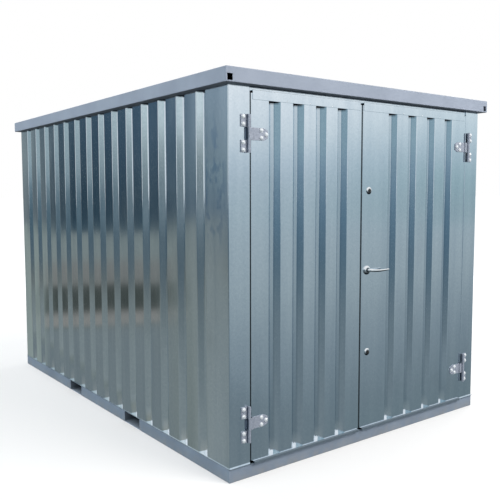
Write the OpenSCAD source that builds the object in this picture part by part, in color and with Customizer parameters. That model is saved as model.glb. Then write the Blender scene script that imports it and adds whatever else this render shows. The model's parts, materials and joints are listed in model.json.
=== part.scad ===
// Portable steel site cabin: a bolted galvanised store with double doors in its short front end.
// The origin is on the ground under the middle of the roof, +Z up, and the doors face -Y.

/* [Overall] */
// Length over the wall sheets, front to back
wall_l = 3000; // [2400:10:4200]
// Width over the wall sheets
wall_w = 2100; // [1980:10:2400]
// Height from the ground to the top of the roof rim
total_h = 2100; // [1990:10:2500]

/* [Base frame] */
// Height of the base rails
base_h = 78; // [70:1:120]
// Thickness of the folded base rails
base_t = 3; // [2:0.5:5]
// Width of the rails' inward flanges
base_flange_w = 60; // [50:1:100]
// How far the base's top ledge stands out at the front and rear
base_ledge = 8; // [4:1:16]
// How far that ledge stands out along the sides
side_ledge = 2; // [1:0.5:4]
// Clear width of a fork pocket
pocket_w = 200; // [160:5:300]
// Distance between the middles of the two fork pockets
pocket_spacing = 890; // [600:10:1200]
// Wall thickness of the fork tunnels
pocket_t = 3; // [2:0.5:5]
// Width of a floor joist
joist_w = 50; // [40:1:80]
// Thickness of a folded floor joist
joist_t = 2.5; // [2:0.5:4]
// Thickness of the floor boards
deck_t = 18; // [12:1:30]
// Gap between the floor boards and the wall sheets
deck_gap = 2.5; // [1:0.5:6]

/* [Wall sheets] */
// Thickness of the wall and door sheets
sheet_t = 1.2; // [0.8:0.1:2]
// Depth of the recesses pressed into the sheets
recess_d = 26; // [10:1:30]
// Width of a wall recess at the outer face
recess_w = 84; // [76:1:110]
// Width that each sloping flank of a recess takes up
flank_w = 29; // [18:1:36]
// Number of recesses in a side wall
side_recesses = 14; // [6:1:16]
// Number of recesses in the rear wall
rear_recesses = 10; // [4:1:11]
// Plain width from a front corner to the first recess
corner_flat = 200; // [150:5:260]
// Plain width from a rear corner to the first recess
rear_flat = 152; // [120:1:260]

/* [Corner posts] */
// Thickness of the folded corner posts
post_t = 2.5; // [1.5:0.5:4]
// Width of a front post's face beside the doors
post_face_w = 137; // [110:1:180]
// Width of a post's return onto the neighbouring wall
post_return_w = 45; // [40:1:70]
// Depth of the front posts' fold into the doorway
jamb_d = 42; // [36:1:60]

/* [Roof] */
// Height of the roof rim
rim_h = 76; // [70:1:120]
// Thickness of the folded roof rim
rim_t = 3; // [2:0.5:5]
// How far the rim stands out past the walls
rim_over = 40; // [38:1:70]
// Width of the rim's foot, which sits on the walls
rim_foot_w = 88; // [86:1:120]
// Width of the rim's top lip
rim_lip_w = 32; // [20:1:60]
// Side of the square lifting holes
lift_hole = 33; // [24:1:40]
// Distance from the rim's corner to a lifting hole
lift_hole_edge = 6; // [4:1:20]
// Height of a lifting hole above the rim's foot
lift_hole_up = 8; // [4:1:16]
// Depth of the troughs in the roof sheet
trough_d = 30; // [15:1:40]
// Width of a roof trough
trough_w = 120; // [100:5:160]
// Width that each sloping flank of a trough takes up
trough_flank_w = 30; // [15:1:45]
// Number of roof troughs
roof_troughs = 12; // [5:1:14]

/* [Doors] */
// Middle of the gap between the leaves, measured from the cabin's middle
meeting_x = -92; // [-300:2:300]
// Gap between the two leaves
meeting_gap = 9; // [7:0.5:14]
// Gap between a leaf and its post
hinge_gap = 6; // [5:0.5:10]
// Gap over and under a leaf
leaf_gap = 6; // [5:0.5:12]
// Depth of a leaf from face to back
leaf_d = 40; // [36:1:60]
// Height of the header over the doors
header_h = 26; // [20:1:60]
// How far the header's face lies behind the walls' faces
header_in = 6; // [5:0.5:12]
// Width of a door recess at the outer face
door_recess_w = 81; // [73:1:100]
// Number of recesses in a leaf
door_recesses = 4; // [2:1:4]
// Plain width at the left leaf's hinged edge
left_hinge_flat = 117; // [110:1:140]
// Plain width at the right leaf's hinged edge
right_hinge_flat = 142; // [110:1:160]
// Plain width at the left leaf's meeting edge
left_meeting_flat = 113; // [70:1:140]
// Plain width at the right leaf's lock edge
right_meeting_flat = 227; // [180:1:260]
// Height of the plate across the top of a leaf
top_plate_h = 48; // [40:1:80]
// How far that plate rises past the leaf's top, over the gap and the header
top_plate_rise = 14; // [8:1:18]
// Thickness of that plate
top_plate_t = 2; // [1:0.5:4]
// Height of the drip strip's turned-down edge
drip_h = 16; // [10:1:24]
// Gap between that edge and the base's ledge
drip_clear = 5; // [5:0.5:8]
// How far the top rail and the drip strip stop short of a leaf's edges
trim_inset = 10; // [6:1:20]
// Thickness of the folded door rails and stiles
leaf_t = 2; // [1.5:0.5:3]
// Width of a stile behind a leaf's edge
stile_w = 40; // [30:1:60]

/* [Hinges] */
// Distance from a leaf's top down to the upper hinges' middle
hinge_upper_drop = 206; // [180:1:350]
// Distance from a leaf's bottom up to the lower hinges' middle
hinge_lower_rise = 206; // [170:1:350]
// Height of each of a hinge's three knuckles
knuckle_h = 63; // [40:1:80]
// Gap between two knuckles
knuckle_gap = 1; // [0.5:0.25:2]
// Outer radius of a knuckle
knuckle_r = 8; // [7:0.5:10]
// Radius of the hinge pin
pin_r = 4.5; // [3:0.5:5]
// Clearance round the pin in the strap's knuckle
pin_clear = 0.3; // [0.2:0.05:0.5]
// Thickness of the hinge plates and straps
hinge_t = 5; // [4:0.5:7]
// How far the pins stand back from the doorway's edges, over the posts
pin_back = 17; // [12:1:24]
// Gap between a post's face and the strap that crosses it
strap_clear = 5; // [5:0.5:6]
// Reach of a frame plate from the pin
plate_w = 45; // [36:1:80]
// Reach of a door strap from the pin
strap_l = 131; // [100:1:133]
// Length of the strap's chamfered tip
strap_tip_l = 26; // [16:1:40]
// Height lost to each chamfer at the strap's tip
strap_tip_h = 13; // [6:1:20]

/* [Locks and handle] */
// Distance of the lock cylinders from the right leaf's edge
lock_setback = 61; // [50:1:110]
// Distance from a leaf's top down to the upper lock cylinder
lock_upper_drop = 492; // [350:1:700]
// Distance from a leaf's bottom up to the lower lock cylinder
lock_lower_rise = 456; // [350:1:750]
// Radius of a lock's escutcheon
lock_r = 22; // [14:1:28]
// Thickness of a lock's escutcheon
lock_t = 5; // [3:0.5:10]
// Radius of the lock cylinder's core
lock_core_r = 10; // [7:0.5:12]
// How far the core stands out of the escutcheon
lock_core_proud = 4; // [2:0.5:8]
// Width of the key slot
key_slot_w = 2.5; // [1.5:0.25:4]
// Height of the key slot
key_slot_h = 11; // [6:0.5:13]
// Depth of the key slot
key_slot_d = 6; // [4:0.5:8]
// Distance of the handle from the right leaf's edge
handle_setback = 50; // [40:1:90]
// Distance from a leaf's bottom up to the handle
handle_rise = 948; // [850:1:1050]
// Radius of the handle's rose at the door
rose_r = 27; // [22:1:34]
// Radius of the rose's front
rose_front_r = 21; // [17:1:21]
// Thickness of the rose
rose_t = 10; // [6:1:16]
// Thickness of the rose at its edge
rose_edge_t = 3; // [1:0.5:5]
// Radius of the lever's neck
neck_r = 9; // [7:0.5:11]
// Clearance round the neck in the rose
neck_clear = 0.3; // [0.2:0.05:0.5]
// How far the lever stands out from the door
lever_out = 38; // [30:1:39]
// Thickness of the lever, front to back
lever_t = 11; // [8:0.5:14]
// Height of the lever at its neck
lever_h = 18; // [14:1:18]
// Height of the lever at its tip
lever_tip_h = 11; // [8:1:14]
// How far the lever's middle bows down
lever_bow = 5; // [0:0.5:8]
// How far the lever's tip lies above its neck's middle
lever_tip_up = -3; // [-6:0.5:8]
// Length of the lever from its neck to its tip
lever_l = 164; // [100:1:180]

/* [Hidden] */

$fn = 48;
// Overrun of every cut past the faces it opens
over = 2;
// Number of straight steps along each edge of the lever
lever_steps = 16;

// Colours of the finishes
galvanised = [0.70, 0.76, 0.80];
rim_grey = [0.64, 0.67, 0.73];
base_grey = [0.49, 0.53, 0.59];
zinc = [0.66, 0.69, 0.74];
polished = [0.86, 0.88, 0.90];
board = [0.62, 0.50, 0.36];

// Where the walls and the doorway lie
half_w = wall_w / 2;
half_l = wall_l / 2;
wall_top = total_h - rim_h;
wall_h = wall_top - base_h;
door_x = half_w - post_face_w;
header_z = wall_top - header_h;

// The pins stand over the posts, in line with the drip strips' edges:
// a leaf that is folded right back then carries its strip clear of the ledge again
drip_proud = base_ledge + drip_clear + leaf_t;
pin_proud = drip_proud - leaf_t / 2;
pin_x = door_x + pin_back;
pin_y = -half_l - pin_proud;

// The leaves
leaf_edge_x = door_x - hinge_gap;
left_meeting_x = meeting_x - meeting_gap / 2;
right_meeting_x = meeting_x + meeting_gap / 2;
left_leaf_w = leaf_edge_x + left_meeting_x;
right_leaf_w = leaf_edge_x - right_meeting_x;
leaf_bottom = base_h + leaf_gap;
leaf_top = header_z - leaf_gap;
sheet_bottom = leaf_bottom + leaf_t;
sheet_h = leaf_top - leaf_t - sheet_bottom;
hinge_upper_z = leaf_top - hinge_upper_drop;
hinge_lower_z = leaf_bottom + hinge_lower_rise;

// The fork pockets reach from the ground to the base rails' top flange
tunnel_h = base_h - base_t;
tunnel_w = pocket_w + pocket_t * 2;
pocket_h = tunnel_h - pocket_t * 2;
joist_y = (pocket_spacing / 2 + tunnel_w / 2 + half_l - base_flange_w) / 2;

// Outline of a pressed sheet from above: flat faces with sloping recesses turned towards +Y
function sheet_face(run, count, start, end, width, flank, depth, t) =
    let (pitch = (run - start - end - width) / (count - 1),
         slope = atan2(depth, flank),
         shift = t * tan(slope / 2))
    [[0, t],
     for (k = [0 : count - 1])
         for (point = [[-shift, t], [flank - shift, depth + t],
                       [width - flank + shift, depth + t], [width + shift, t]])
             [start + pitch * k + point[0], point[1]],
     [run, t]];

function backwards(points) = [for (k = [len(points) - 1 : -1 : 0]) points[k]];

module sheet_outline(run, count, start, end, width, flank, depth) {
    polygon(concat(sheet_face(run, count, start, end, width, flank, depth, 0),
                   backwards(sheet_face(run, count, start, end, width, flank, depth, sheet_t))));
}

// A folded rail along X whose outer face looks to -Y, cut at 45 degrees at both ends.
// The child is its section: first the distance inwards from the outer face, then the height.
module mitred_rail(run, offset, outwards, inwards) {
    intersection() {
        translate([-run / 2 - outwards, -offset, 0])
            rotate([90, 0, 90])
                linear_extrude(run + outwards * 2)
                    children();
        linear_extrude(total_h)
            polygon([[-run / 2 - outwards, -offset - outwards], [run / 2 + outwards, -offset - outwards],
                     [run / 2 - inwards, -offset + inwards], [-run / 2 + inwards, -offset + inwards]]);
    }
}

// Section of a base rail: a channel that opens inwards, with its top folded out into a ledge
module base_section(ledge) {
    polygon([[0, 0], [base_flange_w, 0], [base_flange_w, base_t], [base_t, base_t],
             [base_t, base_h - base_t], [base_flange_w, base_h - base_t], [base_flange_w, base_h],
             [-ledge, base_h], [-ledge, base_h - base_t], [0, base_h - base_t]]);
}

// Section of the roof rim: a channel that opens inwards, foot below and lip above
module rim_section() {
    polygon([[0, wall_top], [rim_foot_w, wall_top], [rim_foot_w, wall_top + rim_t], [rim_t, wall_top + rim_t],
             [rim_t, total_h - rim_t], [rim_lip_w, total_h - rim_t], [rim_lip_w, total_h], [0, total_h]]);
}

// A short base rail, its wider ledge cut off level with the long rails' ledges
module end_base_rail() {
    reach_w = wall_w + side_ledge * 2;
    color(base_grey)
        intersection() {
            mitred_rail(wall_w, half_l, base_ledge, base_flange_w)
                base_section(base_ledge);
            translate([-reach_w / 2, -wall_l, 0])
                cube([reach_w, wall_l, base_h]);
        }
}

// A long base rail, turned to lie on the left: its web opens for the mouths of the fork pockets,
// and its lower flange makes way for the tunnels behind them
module side_base_rail() {
    color(base_grey)
        difference() {
            rotate([0, 0, -90])
                mitred_rail(wall_l, half_w, side_ledge, base_flange_w)
                    base_section(side_ledge);
            for (side = [-1, 1])
                translate([-half_w, side * pocket_spacing / 2, -over]) {
                    translate([-over, -pocket_w / 2, 0])
                        cube([base_t + over * 2, pocket_w, over + pocket_t + pocket_h]);
                    translate([base_t, -tunnel_w / 2, 0])
                        cube([base_flange_w, tunnel_w, base_t + over]);
                }
        }
}

module base_rail_front() { end_base_rail(); }
module base_rail_rear() { rotate([0, 0, 180]) end_base_rail(); }
module base_rail_left() { side_base_rail(); }
module base_rail_right() { rotate([0, 0, 180]) side_base_rail(); }

// A square tunnel under the floor, from one long rail to the other
module fork_tunnel(y) {
    color(base_grey)
        translate([-half_w + base_t, y - tunnel_w / 2, 0])
            difference() {
                cube([wall_w - base_t * 2, tunnel_w, tunnel_h]);
                translate([-over, pocket_t, pocket_t])
                    cube([wall_w + over * 2, pocket_w, pocket_h]);
            }
}

module fork_tunnel_front() { fork_tunnel(-pocket_spacing / 2); }
module fork_tunnel_rear() { fork_tunnel(pocket_spacing / 2); }

// Folded channels across the base: one in the middle and one outside each fork tunnel
module floor_joists() {
    color(base_grey)
        for (y = [-joist_y, 0, joist_y])
            translate([-half_w + base_flange_w, y - joist_w / 2, 0])
                rotate([90, 0, 90])
                    linear_extrude(wall_w - base_flange_w * 2)
                        difference() {
                            square([joist_w, base_h]);
                            translate([joist_t, joist_t])
                                square([joist_w, base_h - joist_t * 2]);
                        }
}

// Boards that lie on the base flanges and joists, inside the wall sheets
module floor_boards() {
    board_in = recess_d + sheet_t + deck_gap;
    board_y = -half_l + leaf_d + leaf_gap + leaf_t;
    color(board)
        translate([-half_w + board_in, board_y, base_h])
            cube([wall_w - board_in * 2, half_l - board_in - board_y, deck_t]);
}

// Angle that covers the boards' front edge between the posts
module door_sill() {
    sill_y = -half_l + leaf_d + leaf_gap;
    color(base_grey)
        translate([-door_x, sill_y, base_h])
            rotate([90, 0, 90])
                linear_extrude(door_x * 2)
                    polygon([[0, 0], [leaf_t, 0], [leaf_t, deck_t], [post_return_w, deck_t],
                             [post_return_w, deck_t + leaf_t], [0, deck_t + leaf_t]]);
}

// Front post from above: a wide face, a return along the side wall and a fold into the doorway
module front_post() {
    color(galvanised)
        translate([-half_w, -half_l, base_h])
            linear_extrude(wall_h)
                polygon([[0, 0], [post_face_w, 0], [post_face_w, jamb_d], [post_face_w - post_t, jamb_d],
                         [post_face_w - post_t, post_t], [post_t, post_t],
                         [post_t, post_return_w], [0, post_return_w]]);
}

// Rear post from above: a plain angle
module rear_post() {
    color(galvanised)
        translate([-half_w, half_l, base_h])
            linear_extrude(wall_h)
                polygon([[0, 0], [post_return_w, 0], [post_return_w, -post_t], [post_t, -post_t],
                         [post_t, -post_return_w], [0, -post_return_w]]);
}

module post_front_left() { front_post(); }
module post_front_right() { mirror([1, 0, 0]) front_post(); }
module post_rear_left() { rear_post(); }
module post_rear_right() { mirror([1, 0, 0]) rear_post(); }

// A wall sheet between two posts, standing on the base with its outer face to -Y
module wall_sheet(run, offset, count, first_flat, last_flat) {
    color(galvanised)
        translate([-run / 2 + post_return_w, -offset, base_h])
            linear_extrude(wall_h)
                sheet_outline(run - post_return_w * 2, count, first_flat - post_return_w,
                              last_flat - post_return_w, recess_w, flank_w, recess_d);
}

module wall_left() {
    rotate([0, 0, -90])
        wall_sheet(wall_l, half_w, side_recesses, rear_flat, corner_flat);
}

module wall_right() { mirror([1, 0, 0]) wall_left(); }

module wall_rear() {
    rotate([0, 0, 180])
        wall_sheet(wall_w, half_l, rear_recesses, rear_flat, rear_flat);
}

// Folded channel between the front posts, over the leaves
module door_header() {
    color(galvanised)
        translate([-door_x, -half_l + header_in, header_z])
            rotate([90, 0, 90])
                linear_extrude(door_x * 2)
                    difference() {
                        square([jamb_d - header_in, header_h]);
                        translate([post_t, post_t])
                            square([jamb_d, header_h - post_t * 2]);
                    }
}

// An end of the roof rim, with a square lifting hole near each corner
module end_rim() {
    rim_w = wall_w + rim_over * 2;
    color(rim_grey)
        difference() {
            mitred_rail(rim_w, half_l + rim_over, 0, rim_foot_w)
                rim_section();
            for (side = [-1, 1])
                translate([side * (rim_w / 2 - lift_hole_edge - lift_hole / 2) - lift_hole / 2,
                           -half_l - rim_over - over, wall_top + lift_hole_up])
                    cube([lift_hole, rim_t + over * 2, lift_hole]);
        }
}

module side_rim() {
    color(rim_grey)
        rotate([0, 0, -90])
            mitred_rail(wall_l + rim_over * 2, half_w + rim_over, 0, rim_foot_w)
                rim_section();
}

module roof_rim_front() { end_rim(); }
module roof_rim_rear() { rotate([0, 0, 180]) end_rim(); }
module roof_rim_left() { side_rim(); }
module roof_rim_right() { rotate([0, 0, 180]) side_rim(); }

// Trapezoidal sheet with its troughs across the cabin, held under the rim's lip
module roof_sheet() {
    run = wall_l + (rim_over - rim_t) * 2;
    across = wall_w + (rim_over - rim_t) * 2;
    color(galvanised)
        translate([across / 2, -run / 2, total_h - rim_t])
            rotate([-90, 0, 90])
                linear_extrude(across)
                    sheet_outline(run, roof_troughs, trough_w, trough_w, trough_w, trough_flank_w, trough_d);
}

// The leaf modules draw a leaf whose hinged edge is at x = 0 and which runs towards +X
module leaf_sheet(width, hinge_flat, meeting_flat) {
    color(galvanised)
        translate([0, -half_l, sheet_bottom])
            linear_extrude(sheet_h)
                sheet_outline(width, door_recesses, hinge_flat, meeting_flat,
                              door_recess_w, flank_w, recess_d);
}

// Plate across the tops of the recesses, open behind them, with a flange over the sheet and the stiles
module leaf_top_rail(width) {
    plate_drop = top_plate_h - top_plate_rise;
    flange_w = top_plate_t + leaf_d;
    color(galvanised)
        translate([trim_inset, -half_l - top_plate_t, leaf_top])
            rotate([90, 0, 90])
                linear_extrude(width - trim_inset * 2)
                    polygon([[0, -plate_drop], [top_plate_t, -plate_drop], [top_plate_t, -leaf_t],
                             [flange_w, -leaf_t], [flange_w, 0], [top_plate_t, 0],
                             [top_plate_t, top_plate_rise], [0, top_plate_rise]]);
}

// Angle under the sheet, its front edge turned down before the base's ledge
module leaf_drip_strip(width) {
    flange_w = drip_proud + leaf_d;
    color(galvanised)
        translate([trim_inset, -half_l - drip_proud, sheet_bottom])
            rotate([90, 0, 90])
                linear_extrude(width - trim_inset * 2)
                    polygon([[0, -drip_h], [leaf_t, -drip_h], [leaf_t, -leaf_t], [flange_w, -leaf_t],
                             [flange_w, 0], [0, 0]]);
}

// Folded channel behind the sheet, its back against the leaf's edge
module leaf_stile() {
    color(galvanised)
        translate([0, -half_l + sheet_t, sheet_bottom])
            linear_extrude(sheet_h)
                difference() {
                    square([stile_w, leaf_d - sheet_t]);
                    translate([leaf_t, leaf_t])
                        square([stile_w, leaf_d - sheet_t - leaf_t * 2]);
                }
}

module at_left_leaf() { translate([-leaf_edge_x, 0, 0]) children(); }
module at_right_leaf() { mirror([1, 0, 0]) at_left_leaf() children(); }
module at_free_edge(width) { translate([width, 0, 0]) mirror([1, 0, 0]) children(); }

module left_door_sheet() { at_left_leaf() leaf_sheet(left_leaf_w, left_hinge_flat, left_meeting_flat); }
module left_door_top_rail() { at_left_leaf() leaf_top_rail(left_leaf_w); }
module left_door_drip_strip() { at_left_leaf() leaf_drip_strip(left_leaf_w); }
module left_door_hinge_stile() { at_left_leaf() leaf_stile(); }
module left_door_meeting_stile() { at_left_leaf() at_free_edge(left_leaf_w) leaf_stile(); }
module right_door_sheet() { at_right_leaf() leaf_sheet(right_leaf_w, right_hinge_flat, right_meeting_flat); }
module right_door_top_rail() { at_right_leaf() leaf_top_rail(right_leaf_w); }
module right_door_drip_strip() { at_right_leaf() leaf_drip_strip(right_leaf_w); }
module right_door_hinge_stile() { at_right_leaf() leaf_stile(); }
module right_door_lock_stile() { at_right_leaf() at_free_edge(right_leaf_w) leaf_stile(); }

// Frame half of a left hinge: two plates on the post, their knuckles and the pin through them
module hinge_plates(z) {
    stack_h = knuckle_h * 3 + knuckle_gap * 2;
    root_x = knuckle_r - hinge_t;
    color(zinc)
        translate([-pin_x, pin_y, z - stack_h / 2]) {
            cylinder(r = pin_r, h = stack_h);
            for (rise = [0, stack_h - knuckle_h])
                translate([0, 0, rise])
                    mirror([1, 0, 0]) {
                        cylinder(r = knuckle_r, h = knuckle_h);
                        translate([root_x, 0, 0])
                            cube([hinge_t, pin_proud, knuckle_h]);
                        translate([root_x, pin_proud - hinge_t, 0])
                            cube([plate_w - root_x, hinge_t, knuckle_h]);
                    }
        }
}

// Door half of a left hinge: a bored knuckle and a strap with a chamfered tip,
// cranked so that it crosses the post's edge with room to spare
module hinge_strap(z) {
    root_x = pin_back + hinge_gap + hinge_t;
    crank_y = pin_proud - strap_clear;
    color(zinc)
        translate([-pin_x, pin_y, z - knuckle_h / 2])
            difference() {
                union() {
                    cylinder(r = knuckle_r, h = knuckle_h);
                    translate([0, crank_y - hinge_t, 0])
                        cube([root_x + hinge_t, hinge_t, knuckle_h]);
                    translate([root_x, crank_y - hinge_t, 0])
                        cube([hinge_t, strap_clear + hinge_t, knuckle_h]);
                    translate([0, pin_proud, 0])
                        rotate([90, 0, 0])
                            linear_extrude(hinge_t)
                                polygon([[root_x, 0], [strap_l - strap_tip_l, 0], [strap_l, strap_tip_h],
                                         [strap_l, knuckle_h - strap_tip_h],
                                         [strap_l - strap_tip_l, knuckle_h], [root_x, knuckle_h]]);
                }
                translate([0, 0, -over])
                    cylinder(r = pin_r + pin_clear, h = knuckle_h + over * 2);
            }
}

module hinge_plates_upper_left() { hinge_plates(hinge_upper_z); }
module hinge_plates_lower_left() { hinge_plates(hinge_lower_z); }
module hinge_plates_upper_right() { mirror([1, 0, 0]) hinge_plates(hinge_upper_z); }
module hinge_plates_lower_right() { mirror([1, 0, 0]) hinge_plates(hinge_lower_z); }
module hinge_strap_upper_left() { hinge_strap(hinge_upper_z); }
module hinge_strap_lower_left() { hinge_strap(hinge_lower_z); }
module hinge_strap_upper_right() { mirror([1, 0, 0]) hinge_strap(hinge_upper_z); }
module hinge_strap_lower_right() { mirror([1, 0, 0]) hinge_strap(hinge_lower_z); }

// Puts a turned piece on the right leaf's face, its axis pointing out of the door
module on_right_leaf(setback, z) {
    translate([right_meeting_x + setback, -half_l, z])
        rotate([90, 0, 0])
            children();
}

// Round escutcheon with a lock core and its key slot
module door_lock(z) {
    face = lock_t + lock_core_proud;
    color(polished)
        on_right_leaf(lock_setback, z)
            difference() {
                union() {
                    cylinder(r = lock_r, h = lock_t);
                    cylinder(r = lock_core_r, h = face);
                }
                translate([-key_slot_w / 2, -key_slot_h / 2, face - key_slot_d])
                    cube([key_slot_w, key_slot_h, key_slot_d + over]);
            }
}

module lock_upper() { door_lock(leaf_top - lock_upper_drop); }
module lock_lower() { door_lock(leaf_bottom + lock_lower_rise); }

// Round rose with a sloping front, bored for the lever's neck
module handle_rose() {
    bore_r = neck_r + neck_clear;
    color(polished)
        on_right_leaf(handle_setback, leaf_bottom + handle_rise)
            rotate_extrude()
                polygon([[bore_r, 0], [rose_r, 0], [rose_r, rose_edge_t],
                         [rose_front_r, rose_t], [bore_r, rose_t]]);
}

// One edge of the lever seen from the front: it bows down, turns up at the tip and narrows on the way
function lever_edge(side) =
    [for (k = [0 : lever_steps])
        let (along_share = k / lever_steps,
             half_h = (lever_h + (lever_tip_h - lever_h) * along_share) / 2)
        [(lever_l - lever_tip_h / 2) * along_share,
         lever_tip_up * pow(along_share, 3) - lever_bow * sin(180 * along_share) + side * half_h]];

// Lever: a round neck through the rose and a flat arm with a round tip
module handle_lever() {
    color(polished)
        on_right_leaf(handle_setback, leaf_bottom + handle_rise) {
            translate([0, 0, neck_clear])
                cylinder(r = neck_r, h = lever_out - neck_clear);
            translate([0, 0, lever_out - lever_t])
                linear_extrude(lever_t) {
                    polygon(concat(lever_edge(-1), backwards(lever_edge(1))));
                    translate([lever_l - lever_tip_h / 2, lever_tip_up])
                        circle(d = lever_tip_h);
                }
        }
}

base_rail_front();
base_rail_rear();
base_rail_left();
base_rail_right();
fork_tunnel_front();
fork_tunnel_rear();
floor_joists();
floor_boards();
door_sill();
post_front_left();
post_front_right();
post_rear_left();
post_rear_right();
wall_left();
wall_right();
wall_rear();
door_header();
roof_rim_front();
roof_rim_rear();
roof_rim_left();
roof_rim_right();
roof_sheet();
left_door_sheet();
left_door_top_rail();
left_door_drip_strip();
left_door_hinge_stile();
left_door_meeting_stile();
right_door_sheet();
right_door_top_rail();
right_door_drip_strip();
right_door_hinge_stile();
right_door_lock_stile();
hinge_plates_upper_left();
hinge_plates_lower_left();
hinge_plates_upper_right();
hinge_plates_lower_right();
hinge_strap_upper_left();
hinge_strap_lower_left();
hinge_strap_upper_right();
hinge_strap_lower_right();
lock_upper();
lock_lower();
handle_rose();
handle_lever();
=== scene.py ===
# %% [markdown]
# # A portable steel site cabin
# The cabin is a bolted store of thin galvanised sheet: pressed walls and doors between folded posts, a
# painted rim round the roof and a painted base with fork pockets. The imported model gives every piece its
# place, in metres. This lesson re-forms each thin piece as a folded surface with real bend radii, because
# shiny metal is read by its bends.

# %% The frame
import json
import math

import bpy
import numpy as np
from mathutils import Matrix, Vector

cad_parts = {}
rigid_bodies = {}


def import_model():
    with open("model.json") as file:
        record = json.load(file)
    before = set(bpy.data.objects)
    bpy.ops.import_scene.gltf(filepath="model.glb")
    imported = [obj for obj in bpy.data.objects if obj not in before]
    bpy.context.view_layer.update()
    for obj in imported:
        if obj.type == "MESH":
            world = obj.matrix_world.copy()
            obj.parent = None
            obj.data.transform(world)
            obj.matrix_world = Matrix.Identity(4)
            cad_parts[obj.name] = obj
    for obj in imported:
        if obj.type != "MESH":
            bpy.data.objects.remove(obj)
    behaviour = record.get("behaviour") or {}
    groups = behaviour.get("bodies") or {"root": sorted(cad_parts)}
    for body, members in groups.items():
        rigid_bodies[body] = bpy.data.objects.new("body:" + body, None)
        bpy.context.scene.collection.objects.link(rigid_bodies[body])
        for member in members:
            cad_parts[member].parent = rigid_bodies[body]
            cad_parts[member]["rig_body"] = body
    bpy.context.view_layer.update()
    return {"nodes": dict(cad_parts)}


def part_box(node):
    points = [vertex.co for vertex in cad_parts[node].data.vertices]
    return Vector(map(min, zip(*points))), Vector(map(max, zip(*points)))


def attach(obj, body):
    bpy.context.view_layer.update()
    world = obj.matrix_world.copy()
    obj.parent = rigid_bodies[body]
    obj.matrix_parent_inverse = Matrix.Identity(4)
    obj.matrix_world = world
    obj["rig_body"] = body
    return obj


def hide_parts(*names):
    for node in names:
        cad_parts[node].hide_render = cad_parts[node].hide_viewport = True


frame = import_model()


# %% [markdown]
# ## Reading places from the frame
# A node's box says where its piece stands. Numpy arrays are easier to reckon with than vectors, so one
# small helper turns the two corners into arrays. The walls' outer faces and the heights that everything
# shares come from it.

# %% Shared places
def corners(node):
    """Lowest and highest corner of a node, as arrays."""
    low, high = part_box(node)
    return np.array(low), np.array(high)


half_width = float(corners("wall_right")[1][0])
half_length = float(-corners("post_front_left")[0][1])
wall_foot, wall_head = (float(corner[2]) for corner in corners("wall_left"))
roof_top = float(corners("roof_rim_left")[1][2])
print("walls", half_width * 2, "x", half_length * 2, "from", wall_foot, "to", wall_head)

# %% [markdown]
# ## The camera
# The picture was taken at a standing eye's height, from off the near left corner. The lens is a little
# longer than normal, and a small sideways shift stands for the picture's crop. The turn is built from three
# plain angles.

# %% Camera
eye = (-2.972, -4.1124, 1.482)
eye_turn, eye_tilt, eye_roll = -0.6288, -0.0802, -0.0043
camera_data = bpy.data.cameras.new("eye")
camera_data.sensor_width = 36
camera_data.lens = 47.03
camera_data.shift_x = 0.05
camera_data.shift_y = -0.0063
camera = bpy.data.objects.new("eye", camera_data)
camera.matrix_world = (Matrix.Translation(eye) @ Matrix.Rotation(eye_turn, 4, "Z")
                       @ Matrix.Rotation(math.pi / 2 + eye_tilt, 4, "X") @ Matrix.Rotation(eye_roll, 4, "Z"))
bpy.context.scene.collection.objects.link(camera)
bpy.context.scene.camera = camera
bpy.context.scene.view_settings.view_transform = "Standard"
print("camera", eye, "lens", camera_data.lens)


# %% [markdown]
# ## Wiring shaders
# Every finish is a small graph of nodes. Writing each node as one call keeps a graph readable: the call
# makes the node, sets its options and fills its inputs, either with a value or with a link from another
# node.

# %% Node helpers
def srgb(red, green, blue):
    """A colour as a screen shows it, from 0 to 255, turned into linear light."""
    screen = np.array([red, green, blue]) / 255
    linear = np.where(screen <= 0.04045, screen / 12.92, ((screen + 0.055) / 1.055) ** 2.4)
    return (*linear.tolist(), 1.0)


def wire(tree, kind, inputs=None, **options):
    """Adds one node, sets its options, fills its inputs by name or number, and returns its outputs."""
    node = tree.nodes.new("ShaderNode" + kind)
    for name, value in options.items():
        setattr(node, name, value)
    for name, value in (inputs or {}).items():
        if isinstance(value, bpy.types.NodeSocket):
            tree.links.new(value, node.inputs[name])
        else:
            node.inputs[name].default_value = value
    return node.outputs


def maths(tree, operation, first, second=0.0):
    """One sum of two numbers or links."""
    return wire(tree, "Math", {0: first, 1: second}, operation=operation)[0]


def stretch(tree, value, start, end, low, high):
    """Moves a value from the range start to end on to the range low to high."""
    places = {"Value": value, "From Min": start, "From Max": end, "To Min": low, "To Max": high}
    return wire(tree, "MapRange", places)[0]


def mixed(tree, share, first, second):
    """Mixes two colours."""
    return wire(tree, "Mix", {0: share, 6: first, 7: second}, data_type="RGBA")[2]


def empty_graph(material):
    """Clears a material's or a world's nodes and returns its tree."""
    material.use_nodes = True
    material.node_tree.nodes.clear()
    return material.node_tree


print("mid grey on a screen is", srgb(128, 128, 128)[0], "of full light")

# %% [markdown]
# ## The studio floor and sky
# A plain pale floor carries the soft shadow. To the camera, to shiny metal and through glass it is lifted
# towards white, less near the cabin, where the shadow has to show, and fully far off. The sky round it is
# white too. The picture's ground stays clean that way, and the lamps keep a plain level.

# %% Floor and sky
def background_share(tree):
    """One for a ray that sees the background: from the camera, off a shiny face or through glass."""
    path = wire(tree, "LightPath")
    seen = maths(tree, "MAXIMUM", path["Is Camera Ray"], path["Is Glossy Ray"])
    return maths(tree, "MAXIMUM", seen, path["Is Transmission Ray"])


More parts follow.
